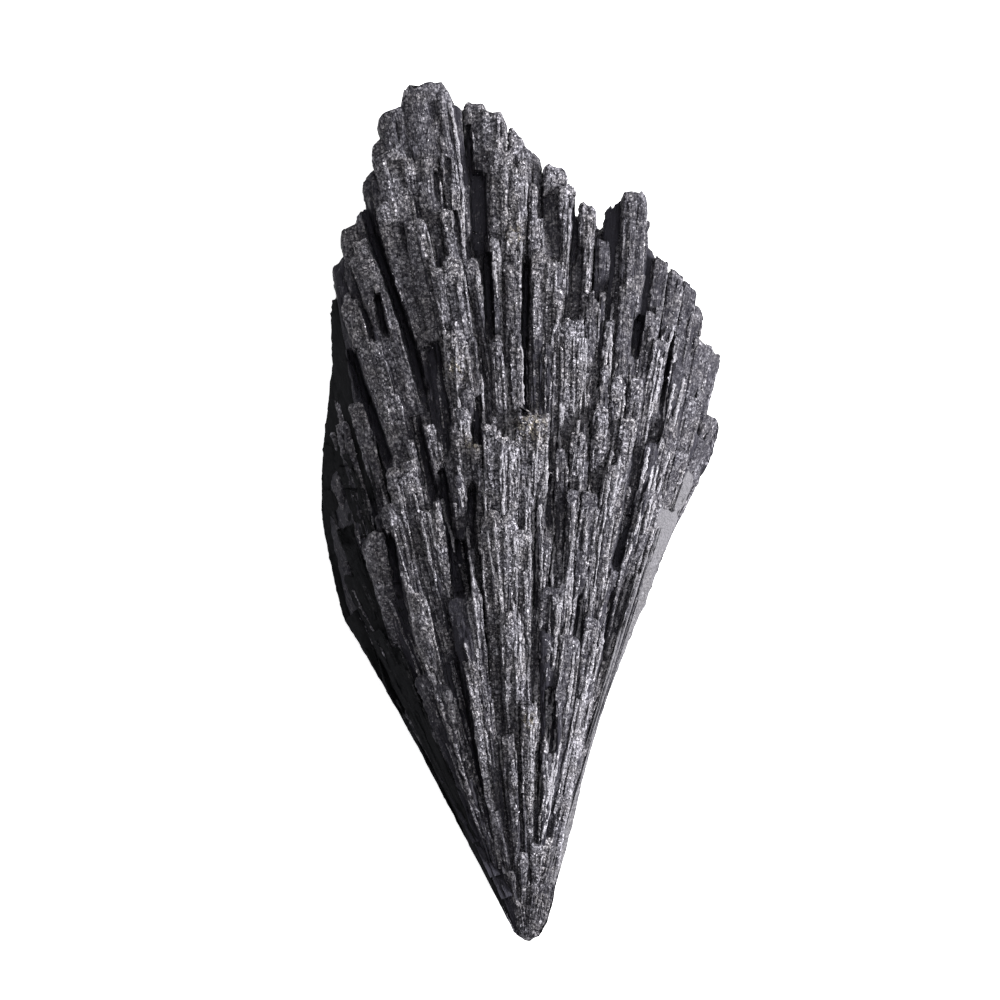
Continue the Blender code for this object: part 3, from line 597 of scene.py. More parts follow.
def bundle(blade, strip_count, hair_count, fused=False):
    """The strips of one blade of the front."""
    tip, root = Vector((blade.tip_x, blade.tip_y)), Vector((blade.root_x, blade.root_y))
    length = (tip - root).length
    along = (tip - root) / length
    across = Vector((along.y, -along.x))
    roll = roll_over(dome, tip - along * 0.25 * length, across, 0.75)
    heights = (float(dome(*root)) - ROOT_SINK, float(dome(*tip)) + blade.lift)
    taper = min(max(root.length / tip.length, 0.3), 0.9)
    depth = 2.4 + max(blade.lift, 0)
    whole = PLATE if blade.width > PLATE_FROM else NARROW
    strips = [grow(whole, tip, root, blade.width, heights, roll, blade.slant, depth, blade.crust, taper)]

    def lay(template, middle, setback, width, proud, crust):
        """A strip on the blade, at a share of its width from the middle, its tip set back along it."""
        shift = across * middle * blade.width
        edge = proud - 0.10 * blade.width * (2 * middle) ** 2
        slope = (heights[0] - heights[1]) / length
        low = heights[0] + roll * middle * blade.width * taper
        high = heights[1] + slope * setback + roll * middle * blade.width + edge
        strips.append(grow(
            template, tip + shift - along * setback, root + shift * taper, width, (low, high),
            roll, chance.uniform(-0.3, 0.3) * width, 0.9, crust, taper,
        ))

    at_rim = tip.length > rim_reach(float(polar(*tip)[1])) - 2.5
    for _ in range(round(0.7 * blade.width) if blade.width > 1.3 and not fused else 0):
        width = blade.width * chance.uniform(0.3, 0.5)
        middle = chance.uniform(-1, 1) * (0.5 - 0.4 * width / blade.width)
        setback = chance.uniform(0.2, 0.8) if at_rim else chance.uniform(-0.9, 0.4)
        lay(NARROW, middle, setback, width, chance.uniform(-0.45, 0.1), blade.crust * chance.uniform(0.7, 1.1))
    for _ in range(strip_count):
        width = min(blade.width * chance.uniform(0.25, 0.5), chance.uniform(0.5, 1.1))
        middle = chance.uniform(-1, 1) * (0.5 - 0.5 * width / blade.width)
        setback = 0.4 + (0.3 * length - 0.4) * chance.random() ** 1.6
        lay(NARROW, middle, setback, width, chance.uniform(0.08, 0.34), blade.crust * chance.uniform(0.7, 1.2))
    for _ in range(hair_count):
        setback = 0.5 + 0.45 * length * chance.random() ** 1.3
        lay(HAIR, chance.uniform(-0.46, 0.46), setback, chance.uniform(0.16, 0.34), chance.uniform(0.08, 0.26),
            blade.crust * chance.uniform(0.2, 1.2))
    # The hair on the right edge gets 0.35 more crust than its blade: a painted highlight on the edge that faces the
    # lamp.
    if blade.width > 1.1:
        lay(HAIR, 0.47, 0.35 * blade.width + chance.uniform(0.2, 1.5), 0.26, 0.18, blade.crust + 0.35)
    return strips


# %% Grow the front's named blades
front_pieces = []
for group, rows in FRONT.items():
    strips = []
    streaky = 1.3 if group in ("ledge", "right_side", "foot") else 0.6
    for row in rows:
        blade = Blade(*row)
        if group == "crown":
            strips += bundle(blade, round(0.35 * blade.width), 1, fused=True)
        else:
            strips += bundle(blade, round(0.9 * blade.width), round(streaky * (blade.width + 0.6)))
    front_pieces.append(gather(group + "_blades", strips))
    print(group, "has", len(strips), "strips")

# %% [markdown]
# ## The blades in between
# Smaller and lower blades fill the space between the named ones. In the outer half they come in rows, each at a
# distance from the focus, with seeded jitter, and one is left out wherever it would crowd a named blade's tip. The
# inner half has hardly any tips on the real one, only long laths that run together at the foot. They start at
# uneven distances and lie side by side, lowest at the two sides.

# %% Grow the outer fillers
FILLER_REACHES = [49, 55, 61, 66, 71, 75, 79, 83]
FILLER_SPACING = 2.1
CLEAR_OF_TIPS = 1.0
UPPER_FROM = 64
flank_strips, middle_strips, upper_strips = [], [], []
for row_reach in FILLER_REACHES:
    left, right = rim_at(row_reach)
    step = math.degrees(FILLER_SPACING / row_reach)
    bearing = left + 0.7 * step
    while bearing < right - 0.6 * step:
        reach = row_reach + chance.uniform(-2.6, 2.6)
        tip = pointing(bearing + chance.uniform(-0.2, 0.2) * step) * reach
        nearest = min(math.hypot(tip.x - blade.tip_x, (tip.y - blade.tip_y) / 2) for blade in NAMED)
        share = float(side_share(*polar(*tip)))
        if nearest > CLEAR_OF_TIPS and share > -0.93:
            # The crust thins from the middle to a tenth at the left side: painted shade on the side away from the
            # lamp.
            crust = chance.uniform(0.35, 0.85) * min(max(1.1 + 1.1 * share, 0.1), 1)
            root = tip * 0.7
            lift = chance.uniform(-0.5, 0.8)
            blade = Blade(*tip, *root, chance.uniform(0.9, 2.0), lift, chance.uniform(-0.6, 0.6), crust)
            low_strips = flank_strips if share < -0.8 else middle_strips
            (low_strips if row_reach < UPPER_FROM else upper_strips).extend(bundle(blade, 1, 2))
        bearing += step
print("the outer fillers have", len(middle_strips) + len(upper_strips), "strips")

# %% Grow the long laths of the inner half
LATH_COUNT = 58
LEFT_MARGIN, RIGHT_MARGIN = 1.8, 4.2
left_strips, right_strips = [], []
for index in range(LATH_COUNT):
    place = 2 * (index + 0.5) / LATH_COUNT - 1
    middle = 1 - abs(place)
    reach = chance.uniform(20, 40) if middle > 0.25 else chance.uniform(32, 46)
    left, right = rim_at(reach)
    bearing = (left + right) / 2 + place * ((right - left) / 2 - (RIGHT_MARGIN if place > 0 else LEFT_MARGIN))
    tip, root = pointing(bearing) * reach, pointing(bearing * 0.95) * 3.0
    # lit scales the crust, and so the brightness: none at the far left, as painted shade on the side away from the
    # lamp, full in the middle, and a little less at the right.
    lit = min(max(1.0 + 1.4 * place, 0.0), 1.0 - 0.35 * max(place, 0.0))
    crust = chance.uniform(0.32, 0.60) * lit
    lift = chance.uniform(-0.9, 0.0) if middle > 0.2 else chance.uniform(-0.6, 0.2)
    blade = Blade(*tip, *root, chance.uniform(1.1, 1.9), lift, -0.5 * place, crust)
    side_strips = flank_strips if place < -0.82 else left_strips if place < 0 else right_strips
    side_strips.extend(bundle(blade, 2, 4))
front_pieces += [
    gather("left_lath_blades", left_strips), gather("right_lath_blades", right_strips),
    gather("middle_filler_blades", middle_strips), gather("upper_filler_blades", upper_strips),
]
print("the long laths have", len(left_strips) + len(right_strips), "strips")

# %% [markdown]
# ## The smooth left flank
# The left flank slopes steeply, faces away from the lamp, and has hardly any crust: it's a few wide, glossy plates
# whose outer edges make the clean curve of the rim. Their material is a darker copy of the crystal's: painted shade
# for the side away from the lamp. Each is grown wider than the room it has and held within the rim, so its edge
# follows the curve exactly. Low hairs run along them as streaks.

# %% Grow a plate that is held within the rim
Hairs = namedtuple("Hairs", "count shifts setbacks widths raised")


def held_plate(tip, root, width, heights, slant, depth, crust, taper, hairs, hair_crust):
    """A wide plate held within the rim, and the hairs that run along it."""
    middle = (tip + root) / 2
    across_rise = float(dome(middle.x + ROLL_STEP, middle.y) - dome(middle.x - ROLL_STEP, middle.y))
    roll = 0.85 * across_rise / (2 * ROLL_STEP)
    strips = [grow(PLATE, tip, root, width, heights, roll, slant, depth, crust, taper, held=True)]
    for _ in range(hairs.count):
        shift = chance.uniform(*hairs.shifts) * width
        setback = (root - tip).normalized() * chance.uniform(*hairs.setbacks)
        raised = [height + roll * shift + extra for height, extra in zip(heights, hairs.raised)]
        strips.append(grow(
            HAIR, tip + Vector((shift, 0)) + setback, root + Vector((taper * shift, 0)),
            chance.uniform(*hairs.widths), raised, roll, 0.0, 0.8, hair_crust(), 0.5, held=True,
        ))
    return strips


# %% Grow the flank
# Each plate has the place of its tip and of its root, its width, and how far its tip stands above the dome.
FLANK = [
    (-20.3, 65.6, -15.6, 46.0, 3.0, -1.7), (-20.2, 60.5, -16.5, 40.0, 3.4, -1.5),
    (-21.0, 55.5, -15.6, 34.0, 3.6, -1.7), (-21.4, 51.0, -15.0, 28.0, 4.0, -1.5),
    (-21.2, 46.5, -14.0, 24.0, 4.0, -1.7), (-20.4, 42.0, -13.0, 21.0, 3.8, -1.6),
    (-19.6, 38.6, -10.0, 16.0, 3.4, -1.5), (-17.4, 34.5, -7.0, 12.0, 3.0, -1.6),
    (-13.6, 28.0, -2.4, 4.2, 2.4, -1.5),
]
FLANK_ROOT_SINK = 1.6
FLANK_HAIRS = Hairs(count=5, shifts=(-0.42, 0.42), setbacks=(0.5, 12), widths=(0.15, 0.4), raised=(0.0, 0.1))
for tip_x, tip_y, root_x, root_y, width, lift in FLANK:
    tip, root = Vector((tip_x, tip_y)), Vector((root_x, root_y))
    heights = [float(dome(*root)) - FLANK_ROOT_SINK, float(dome(*tip)) + lift]
    # Crust at or below zero leaves the plates bare, so they show the flank's darker material, which is painted shade.
    flank_strips += held_plate(
        tip, root, width, heights, -0.5, 2.0, -0.12, 0.5, FLANK_HAIRS, lambda: chance.uniform(-0.3, 0.5)
    )
flank = gather("left_flank_blades", flank_strips)
print("the flank has", len(flank_strips), "strips")

# %% [markdown]
# ## The right edge, with a painted sheen
# Along the lower right side runs one smooth band, a few narrow plates that lie open to the lamp. They are grown like
# the flank, but with a crust value far above 1, which their material turns into one smooth, even grey: a painted
# sheen for the band that faces the lamp. Hairs run along them too, some nearly bare and dark, the others with the
# same painted sheen.

# %% Grow the right edge
EDGE = [(16.2, 48.6, 9.2, 30.0, 1.4, 0.7), (14.1, 45.0, 6.4, 21.0, 2.7, 1.6), (10.2, 35.0, 2.2, 7.5, 2.0, 1.1)]
EDGE_HAIRS = Hairs(count=6, shifts=(-0.42, 0.10), setbacks=(0.3, 9), widths=(0.10, 0.18), raised=(0.06, 0.12))
edge_strips = []
for tip_x, tip_y, root_x, root_y, width, lift in EDGE:
    tip, root = Vector((tip_x, tip_y)), Vector((root_x, root_y))
    rise = float(dome(*((tip + root) / 2))) - float(dome(*root) + dome(*tip)) / 2
    heights = [float(dome(*root)) + rise + lift, float(dome(*tip)) + rise + lift]
    # A crust of 2.6 on the plates, and of 3.0 on half the hairs, gives the painted sheen.
    edge_strips += held_plate(
        tip, root, width, heights, 0.5, 2.4, 2.6, 0.6, EDGE_HAIRS, lambda: chance.choice((0.5, 3.0))
    )
edge = gather("right_edge_blades", edge_strips)
print("the right edge has", len(edge_strips), "strips")

# %% [markdown]
# ## The sides, the rim and the back
# Long plain blades make the two lower sides. Along the rim, blades stack up at half height, with many short broken
# ends among them. Under the fan six overlapping rows face down, and some of their tips are worn flat where the fan
# lies on them.

# %% Grow the sides and the rim
# Each side blade has its root and its tip, its width, and its height as a share of the way from the back to the dome.
SIDE_BLADES = [
    ((7.9, 31.0), (17.4, 52.6), 1.4, 0.60), ((4.6, 19.0), (12.0, 41.2), 1.3, 0.66),
    ((2.4, 9.0), (7.4, 28.5), 1.0, 0.70), ((8.2, 33.5), (15.8, 50.6), 1.8, 0.86),
    ((5.0, 22.0), (10.5, 38.6), 1.6, 0.90), ((-1.7, 6.8), (-16.3, 34.5), 1.0, 0.55),
    ((-6.0, 15.2), (-17.9, 40.0), 1.8, 0.72), ((-3.2, 8.6), (-12.4, 26.2), 1.3, 0.82),
]
RIM_START, RIM_SPAN = -21.0, 38.6
RIM_COUNT, STUB_COUNT = 34, 96


def keep_inside(bearing, reach, width):
    """The nearest direction at which a blade of some width, ending at a distance, stays within the rim."""
    left, right = rim_at(reach * np.array([0.5, 0.65, 0.8, 1.0]))
    half = math.degrees(0.75 * width / reach)
    return min(max(bearing, left.max() + half), right.min() - half)


def plain_bundle(tip, root, width, heights, roll, depth, crust, up=1):
    """A bundle between two given ends."""
    tip, root = Vector(tip), Vector(root)
    along = (tip - root).normalized()
    across = Vector((along.y, -along.x))
    count = max(1, round(width / 1.1))
    strips = []
    for index in range(count):
        middle = (index + 0.5) / count - 0.5
        shift = across * middle * width
        short = chance.uniform(0, 1.6) + 0.25 * width * (2 * middle) ** 2
        lift = chance.uniform(-0.2, 0.1)
        strips.append(grow(
            NARROW, tip + shift - along * short, root + shift * 0.4, width / count * 1.2,
            (heights[0], heights[1] + up * lift + roll * middle * width), roll, 0.0, depth, crust, 0.4, up,
        ))
    return strips


def rim_places(count, widths, jitter, setbacks, root_share, levels):
    """Places spread along the rim, each with its tip, root, width, end heights, and height above the back."""
    for index in range(count):
        width = chance.uniform(*widths)
        bearing = RIM_START + RIM_SPAN * index / (count - 1) + chance.uniform(-jitter, jitter)
        reach = rim_reach(bearing) - chance.uniform(*setbacks)
        along = pointing(keep_inside(bearing, reach, width))
        tip, root = along * reach, along * reach * root_share
        low, high = float(back(*tip)), float(dome(*tip))
        top = low + (high - low) * chance.uniform(*levels)
        yield tip, root, width, (float(back(*root) + dome(*root)) / 2, top), top - low


rim_strips = []
for root, tip, width, share in SIDE_BLADES:
    ends = [float(back(*place) + (dome(*place) - back(*place)) * share) for place in (root, tip)]
    rim_strips += plain_bundle(tip, root, width, ends, 0.0, 0.5 * ends[1], 0.35)
for tip, root, width, ends, above in rim_places(RIM_COUNT, (1.6, 2.6), 0.4, (0.9, 3.2), 0.5, (0.4, 0.8)):
    rim_strips += plain_bundle(tip, root, width, ends, 0.0, above - 0.4, 0.4)
for tip, root, width, ends, above in rim_places(STUB_COUNT, (0.8, 1.8), 0.5, (0.4, 1.5), 0.75, (0.2, 0.85)):
    slant, depth = chance.uniform(-0.3, 0.3), min(chance.uniform(0.8, 2.4), above)
    rim_strips.append(grow(NARROW, tip, root, width, ends, 0.0, slant, depth, 0.5, 0.4))
rim = gather("rim_blades", rim_strips)
print("the rim has", len(rim_strips), "strips")

# %% Grow the back
# The rows are listed from the outer one inwards, by their tips' distance as a share of the way to the rim.
BACK_ROWS = [0.985, 0.86, 0.73, 0.60, 0.47, 0.34]
BACK_START, BACK_SPAN = -27, 45.5
BELOW_FLOOR = -0.2
back_strips = []
for row, share in enumerate(BACK_ROWS):
    count = 20 - 2 * row
    for index in range(count):
        place = index + 0.5 + 0.3 * (row % 2)
        bearing = BACK_START + BACK_SPAN * place / count + chance.uniform(-0.6, 0.6)
        reach = rim_reach(bearing) * share - chance.uniform(0.3, 3.5)
        width = chance.uniform(1.8, 3.2)
        along = pointing(keep_inside(bearing, reach, width))
        across = Vector((along.y, -along.x))
        tip, root = along * reach, along * reach * 0.45
        low = max(float(back(*tip)) - chance.uniform(0.2, 0.9), BELOW_FLOOR)
        ends = (float(back(*root)) + 0.8, low)
        back_strips += plain_bundle(tip, root, width, ends, roll_over(back, tip, across, 0.8), 2.4, 0.5, up=-1)
underside = gather("back_blades", back_strips)
print("the back has", len(back_strips), "strips")

# %% [markdown]
# ## Spines draped over the blades
# Thin spines run along the fan for a centimetre or two, and catch the light all the way; their pale colour, from a
# crust value above 1, is a painted highlight. They are what is left of the finest crystals, and they follow whatever
# they lie on. So rays are shot straight down on the blades grown so far, and each spine is bent through the places
# where they land, smoothed a little. The palest are listed, and many finer ones are scattered by the seeded draw.

# %% Drape a spine
def surface_of(pieces):
    """All faces of some pieces, ready for rays."""
    points, faces, first = [], [], 0
    for piece in pieces:
        places, _ = points_of(piece)
        points.append(places)
        faces += [[first + corner for corner in polygon.vertices] for polygon in piece.data.polygons]
        first += len(places)
    return BVHTree.FromPolygons(np.concatenate(points).tolist(), faces)


grown = surface_of(front_pieces + [flank, edge])
RAYS_FROM = 30
STATION_GAP = 0.7


def drape(stops, width, crust, lift=0.14):
    """A spine through some stops, from its tip to its lower end, at a height above what it lies on."""
    places, corners = TEMPLATES["spine"]
    stops = np.array(stops)
    steps = np.hypot(*np.diff(stops, axis=0).T)
    run = np.concatenate(([0], np.cumsum(steps)))
    stations = np.linspace(0, run[-1], 3 + int(run[-1] / STATION_GAP))
    middle_x, middle_y = np.interp(stations, run, stops[:, 0]), np.interp(stations, run, stops[:, 1])
    ground = []
    for place_x, place_y in zip(middle_x, middle_y):
        hit = grown.ray_cast(Vector((place_x, place_y, RAYS_FROM)), Vector((0, 0, -1)))[0]
        ground.append(hit.z if hit else float(dome(place_x, place_y)))
    ground = np.convolve(np.pad(ground, 2, "edge"), np.ones(5) / 5, "valid")
    side, behind, below = places[:, 0], -places[:, 1], -places[:, 2]
    back_from_tip = width * np.minimum(behind, 1) + np.maximum(behind - 1, 0) / (STRIP_LENGTH - 1) * (run[-1] - width)
    share = back_from_tip / run[-1]
    heading_x = np.interp(back_from_tip, stations, np.gradient(middle_x, stations))
    heading_y = np.interp(back_from_tip, stations, np.gradient(middle_y, stations))
    thin = width * (1 - 0.6 * share ** 3) * (1 + uneven(0 * share, share, 1, max(3, int(run[-1] / 1.5)), 0.3))
    sway = uneven(0 * share, share, 1, max(3, int(run[-1] / 2)), 0.10)
    x = np.interp(back_from_tip, stations, middle_x) + heading_y * (side * thin + sway)
    y = np.interp(back_from_tip, stations, middle_y) - heading_x * (side * thin + sway)
    z = np.interp(back_from_tip, stations, ground) + lift - 0.45 * below * np.minimum(1, 3 * width)
    z = z - 0.12 * np.clip(1 - back_from_tip / 0.6, 0, 1) ** 2 - lift * share ** 4
    flat = np.column_stack((side * width + 40 * chance.random(), back_from_tip + 90 * chance.random()))
    return copy_of(SPINE, (x, y, z), np.full(len(x), crust), flat[corners])


# %% List the palest spines, lay them, and scatter the fine ones
# Each has its stops from the tip down, its width, and its crust, which is above 1 where a painted highlight makes it
# paler than the rest.
SPINES = [
    ([(0.2, 49.4), (0.1, 44.6)], 0.36, 1.5), ([(1.0, 49.7), (1.0, 46.0)], 0.30, 1.5),
    ([(1.8, 49.8), (1.8, 43.5)], 0.30, 1.5), ([(1.3, 46.2), (1.4, 39.5)], 0.26, 1.5),
    ([(0.3, 43.0), (0.3, 31.5)], 0.28, 1.5), ([(4.3, 75.0), (3.7, 65.8)], 0.30, 1.4),
    ([(-9.1, 45.7), (-8.2, 42.5)], 0.40, 1.6), ([(-9.8, 44.6), (-7.8, 36.2)], 0.32, 1.5),
    ([(-6.9, 47.8), (-6.4, 45.2)], 0.36, 1.5), ([(-6.0, 35.9), (-4.7, 28.9)], 0.32, 1.4),
    ([(1.4, 32.6), (2.6, 30.9), (2.6, 27.0)], 0.28, 1.4), ([(-7.7, 85.5), (-6.9, 81.0), (-6.3, 75.5)], 0.32, 1.5),
    ([(-6.5, 77.0), (-6.2, 70.0)], 0.28, 1.5), ([(-5.2, 69.8), (-4.5, 65.0)], 0.40, 1.5),
    ([(-3.3, 69.5), (-3.0, 66.0)], 0.26, 1.4), ([(-0.7, 62.0), (-0.4, 55.4)], 0.28, 1.5),
    ([(4.6, 45.9), (4.3, 35.9), (3.9, 31.9)], 0.50, 1.3),
    ([(7.5, 39.9), (7.3, 31.9)], 0.36, 1.5), ([(2.0, 20.4), (2.1, 16.9), (1.6, 13.9)], 0.30, 1.5),
    ([(-12.2, 38.9), (-10.7, 31.9), (-8.7, 25.9)], 0.70, 1.2), ([(-5.9, 35.9), (-4.9, 29.9)], 0.35, 1.4),
    ([(-7.9, 26.9), (-6.2, 19.9)], 0.34, 1.5), ([(-7.3, 29.0), (-6.6, 25.0)], 0.28, 1.4),
    ([(-5.7, 29.9), (-4.7, 22.0), (-3.7, 15.9), (-2.6, 9.0)], 0.95, 1.1), ([(-18.3, 37.6), (-15.2, 31.0)], 0.20, 0.7),
    ([(-17.4, 36.9), (-14.2, 30.0)], 0.20, 0.6), ([(-17.4, 44.5), (-16.2, 39.8)], 0.20, 0.8),
    ([(3.4, 44.5), (3.2, 38.0), (3.0, 30.5)], 0.40, 1.1), ([(5.9, 44.0), (5.4, 36.0), (4.9, 30.0)], 0.40, 1.2),
    ([(7.1, 46.0), (6.6, 39.0), (6.0, 31.0)], 0.36, 1.2), ([(8.6, 45.0), (7.8, 39.0), (7.0, 33.0)], 0.36, 1.3),
    ([(-0.2, 25.9), (0.2, 19.0), (0.3, 12.0)], 0.90, 0.9), ([(5.5, 26.0), (4.2, 17.0), (3.0, 9.0)], 0.60, 1.3),
]
spine_strips = [drape(*row) for row in SPINES]

FINE_SPINE_COUNT = 210
for _ in range(FINE_SPINE_COUNT):
    reach = chance.uniform(18, 66)
    left, right = rim_at(reach)
    bearing = left + (right - left) * (0.14 + 0.82 * chance.random() ** 0.8)
    length = chance.uniform(4, 13) * min(1, reach / 40 + 0.3)
    drift = chance.uniform(-0.6, 0.6)
    stops = [pointing(bearing + drift * part) * (reach - length * part) for part in (0, 0.5, 1)]
    # Their crust, and so their painted highlight, rises a little towards the right side, which faces the lamp.
    share = float(side_share(reach, bearing))
    spine_strips.append(drape(
        [tuple(stop) for stop in stops],
        chance.uniform(0.18, 0.32), chance.uniform(0.8, 1.5) + 0.2 * share, chance.uniform(0.14, 0.32),
    ))
front_pieces.append(gather("spines", spine_strips))
print(len(spine_strips), "spines")

# %% [markdown]
# ## The body
# Under the blades lies the mass that they grew from. It shows only at the bottom of the gaps and at the narrow end.
# A cube is cut into a fine grid and then wrapped: its width becomes the direction from the focus, its length the
# distance, and its height the way from the back up to the dome.
# It is narrowed and flattened where it starts, ends short of the blades' tips, lies a little inside the back, and its
# top sinks below the blades, deepest at the left side, in a few shallow pleats.

# %% Wrap a cube into the body
BODY_CUTS = (63, 119, 5)
BODY_START, BODY_END = 1.7, 84.5
INSIDE_BACK = 0.45
DEEPEST_SINK, SIDE_SINK = 1.9, 0.9
BELOW_RECESS = 0.4
THINNEST = 0.8
PLEATS = [(0.16, 4.1, 0), (0.10, 9.7, 2), (0.12, 1.7, 1)]

body = start_cube("fan_body", 2)
for axis, cuts in enumerate(BODY_CUTS):
    cut_edges(body, runs_along(axis), cuts)
bpy.ops.object.mode_set(mode="OBJECT")
grid, corners = points_of(body)
reach = BODY_START + (BODY_END - BODY_START) * ((grid[:, 1] + 1) / 2) ** 1.2
left, right = rim_at(reach + 2.2 * np.clip((reach - 50) / 6, 0, 1))
inset = np.minimum(np.degrees(1.0 / reach), 0.015 * (right - left))
squeeze = np.sqrt(np.clip((reach - 1.6) / 0.9, 0.2, 1))
bearing = (left + right) / 2 + grid[:, 0] * ((right - left) / 2 - inset) * squeeze
x, y = from_polar(reach, bearing)
pleat = sum(height * np.sin(bearing * turns + start) for height, turns, start in PLEATS)
sink = np.minimum(DEEPEST_SINK, 0.10 * reach) + SIDE_SINK * np.clip(-2.5 * grid[:, 0] - 1.3, 0, 1)
low = back(x, y) + INSIDE_BACK
floor_height, inside = recess_floor(x, y)
high = dome(x, y) - sink + pleat * np.minimum(reach / 9, 1)
high = high + (np.minimum(high, floor_height - BELOW_RECESS) - high) * inside
high = np.maximum(high, low + THINNEST)
z = (low + high) / 2 + grid[:, 2] * (high - low) / 2 * squeeze
body.data.vertices.foreach_set("co", np.column_stack((x, y, z)).ravel())
set_values(body.data, "crust", 0.1 + 0.85 * np.exp(-(reach / 10) ** 2))
set_values(body.data, "stain", stain_at(x, y))
body.data.uv_layers.active.name = "along"
set_map(body.data, np.column_stack((np.radians(bearing) * 40, reach))[corners])
bpy.ops.object.mode_set(mode="EDIT")
finish_cube()
print("the body has", len(body.data.polygons), "faces")

# %% [markdown]
# ## Crumbling
# The crust makes every surface lumpy. Two Displace modifiers do that on each piece: one with soft clouds for lumps
# of about a millimetre, one with finer clouds. They are applied, and whatever dips under the surface that the fan
# lies on is pressed flat again.

# %% Roughen and settle every piece
BLADE_CRUMBLE = (0.34, 0.27)
BODY_CRUMBLE = (0.30, 0.15)
clouds = []
for name, size in (("lumps", 0.9), ("crumbs", 0.32)):
    texture = bpy.data.textures.new(name, "CLOUDS")
    texture.noise_scale = size
    texture.noise_depth = 1
    clouds.append(texture)


def crumble(piece, amounts):
    """Displace a piece by both textures, and keep it above the surface it lies on."""
    select_only([piece])
    for texture, amount in zip(clouds, amounts):
        rough = piece.modifiers.new(texture.name, "DISPLACE")
        rough.texture = texture
        rough.texture_coords = "LOCAL"
        rough.strength = amount
        rough.mid_level = 0.5
        bpy.ops.object.modifier_apply(modifier=rough.name)
    places, _ = points_of(piece)
    places[:, 2] = np.maximum(places[:, 2], 0)
    piece.data.vertices.foreach_set("co", places.ravel())
    piece.data.update()
    bpy.ops.object.shade_smooth_by_angle(angle=math.radians(50))
    settle(piece)


for piece in front_pieces + [flank, edge, rim, underside]:
    crumble(piece, BLADE_CRUMBLE)
crumble(body, BODY_CRUMBLE)
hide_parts("crystal_fan")
for template in (PLATE, NARROW, HAIR, SPINE):
    bpy.data.objects.remove(template)

# %% [markdown]
# ## Mica grains
# The crust glitters with tiny flakes. The finish draws most of them, but the largest are real: small squashed
# balls, scattered over the crusty tops of the blades by a seeded draw, each turned its own way.

# %% Scatter the grains
# The sizes and the shifts are in metres, because the blades are in the frame by now.
GRAIN_COUNT = 7000
GRAIN_SIZES = (0.00010, 0.00024)
GRAIN_SHIFT = 0.00012
GRAIN_SEED = 5
bpy.ops.object.select_all(action="DESELECT")
bpy.ops.mesh.primitive_ico_sphere_add(subdivisions=1, radius=0.5)
grain = bpy.context.object
bpy.ops.object.mode_set(mode="EDIT")
bpy.ops.transform.resize(value=(1, 0.8, 0.5))
bpy.ops.object.mode_set(mode="OBJECT")
grain_points, _ = points_of(grain)
grain_faces = np.array([polygon.vertices[:] for polygon in grain.data.polygons])
bpy.data.objects.remove(grain)

picker = np.random.default_rng(GRAIN_SEED)
centres, weights, stains = [], [], []
for piece in front_pieces + [rim, body]:
    data = piece.data
    count = len(data.polygons)
    middle, normal, area = np.empty(3 * count), np.empty(3 * count), np.empty(count)
    data.polygons.foreach_get("center", middle)
    data.polygons.foreach_get("normal", normal)
    data.polygons.foreach_get("area", area)
    first = np.array([polygon.vertices[0] for polygon in data.polygons])
    crust, stain = values_of(data, "crust"), values_of(data, "stain")
    up = np.clip(normal.reshape(-1, 3)[:, 2], 0, 1)
    centres.append(middle.reshape(-1, 3))
    weights.append(area * up * np.clip(crust[first], 0, 1) ** 1.5)
    stains.append(stain[first])
centres, weights, stains = np.concatenate(centres), np.concatenate(weights), np.concatenate(stains)
chosen = picker.choice(len(centres), GRAIN_COUNT, replace=False, p=weights / weights.sum())
sizes = picker.uniform(*GRAIN_SIZES, GRAIN_COUNT)
turns = np.linalg.qr(picker.normal(size=(GRAIN_COUNT, 3, 3)))[0]
turns[np.linalg.det(turns) < 0] *= -1
spots = centres[chosen] + picker.uniform(-GRAIN_SHIFT, GRAIN_SHIFT, (GRAIN_COUNT, 3)) * np.array([1, 1, 0.2])
places = np.einsum("gij,pj->gpi", turns, grain_points) * sizes[:, None, None] + spots[:, None, :]
faces = grain_faces[None] + np.arange(GRAIN_COUNT)[:, None, None] * len(grain_points)
data = bpy.data.meshes.new("mica_grains")
data.from_pydata(places.reshape(-1, 3).tolist(), [], faces.reshape(-1, 3).tolist())
set_values(data, "glint", np.repeat(picker.uniform(0, 1, GRAIN_COUNT), len(grain_points)))
set_values(data, "stain", np.repeat(stains[chosen], len(grain_points)))
grains = bpy.data.objects.new("mica_grains", data)
bpy.context.scene.collection.objects.link(grains)
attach(grains, "root")
print(GRAIN_COUNT, "grains with", len(data.polygons), "faces")

# %% [markdown]
# ## The finish
# Two effects are used by more than one material, so each is a node group. "dust" draws the crust: tiny cells of
# random brightness, thickest where the crust value is high. "streaks" draws the fine lines along each blade, from
# the UV map, so they follow every blade's own direction.

# %% Helpers for materials and node groups
def new_material(name):
    """A material, its node tree and its shader."""
    material = bpy.data.materials.new(name)
    material.use_nodes = True
    return material, material.node_tree, material.node_tree.nodes["Principled BSDF"]


def dress(pieces, material):
    """Give some pieces one material and no other."""
    for piece in pieces:
        piece.data.materials.clear()
        piece.data.materials.append(material)


def new_group(name, inputs, outputs):
    """An empty shader node group with float and vector sockets."""
    group = bpy.data.node_groups.new(name, "ShaderNodeTree")
    kinds = {"float": "NodeSocketFloat", "vector": "NodeSocketVector"}
    for socket, kind, value in inputs:
        made = group.interface.new_socket(socket, in_out="INPUT", socket_type=kinds[kind])
        if value is not None:
            made.default_value = value
    for socket, kind in outputs:
        group.interface.new_socket(socket, in_out="OUTPUT", socket_type=kinds[kind])
    return group, group.nodes.new("NodeGroupInput"), group.nodes.new("NodeGroupOutput")


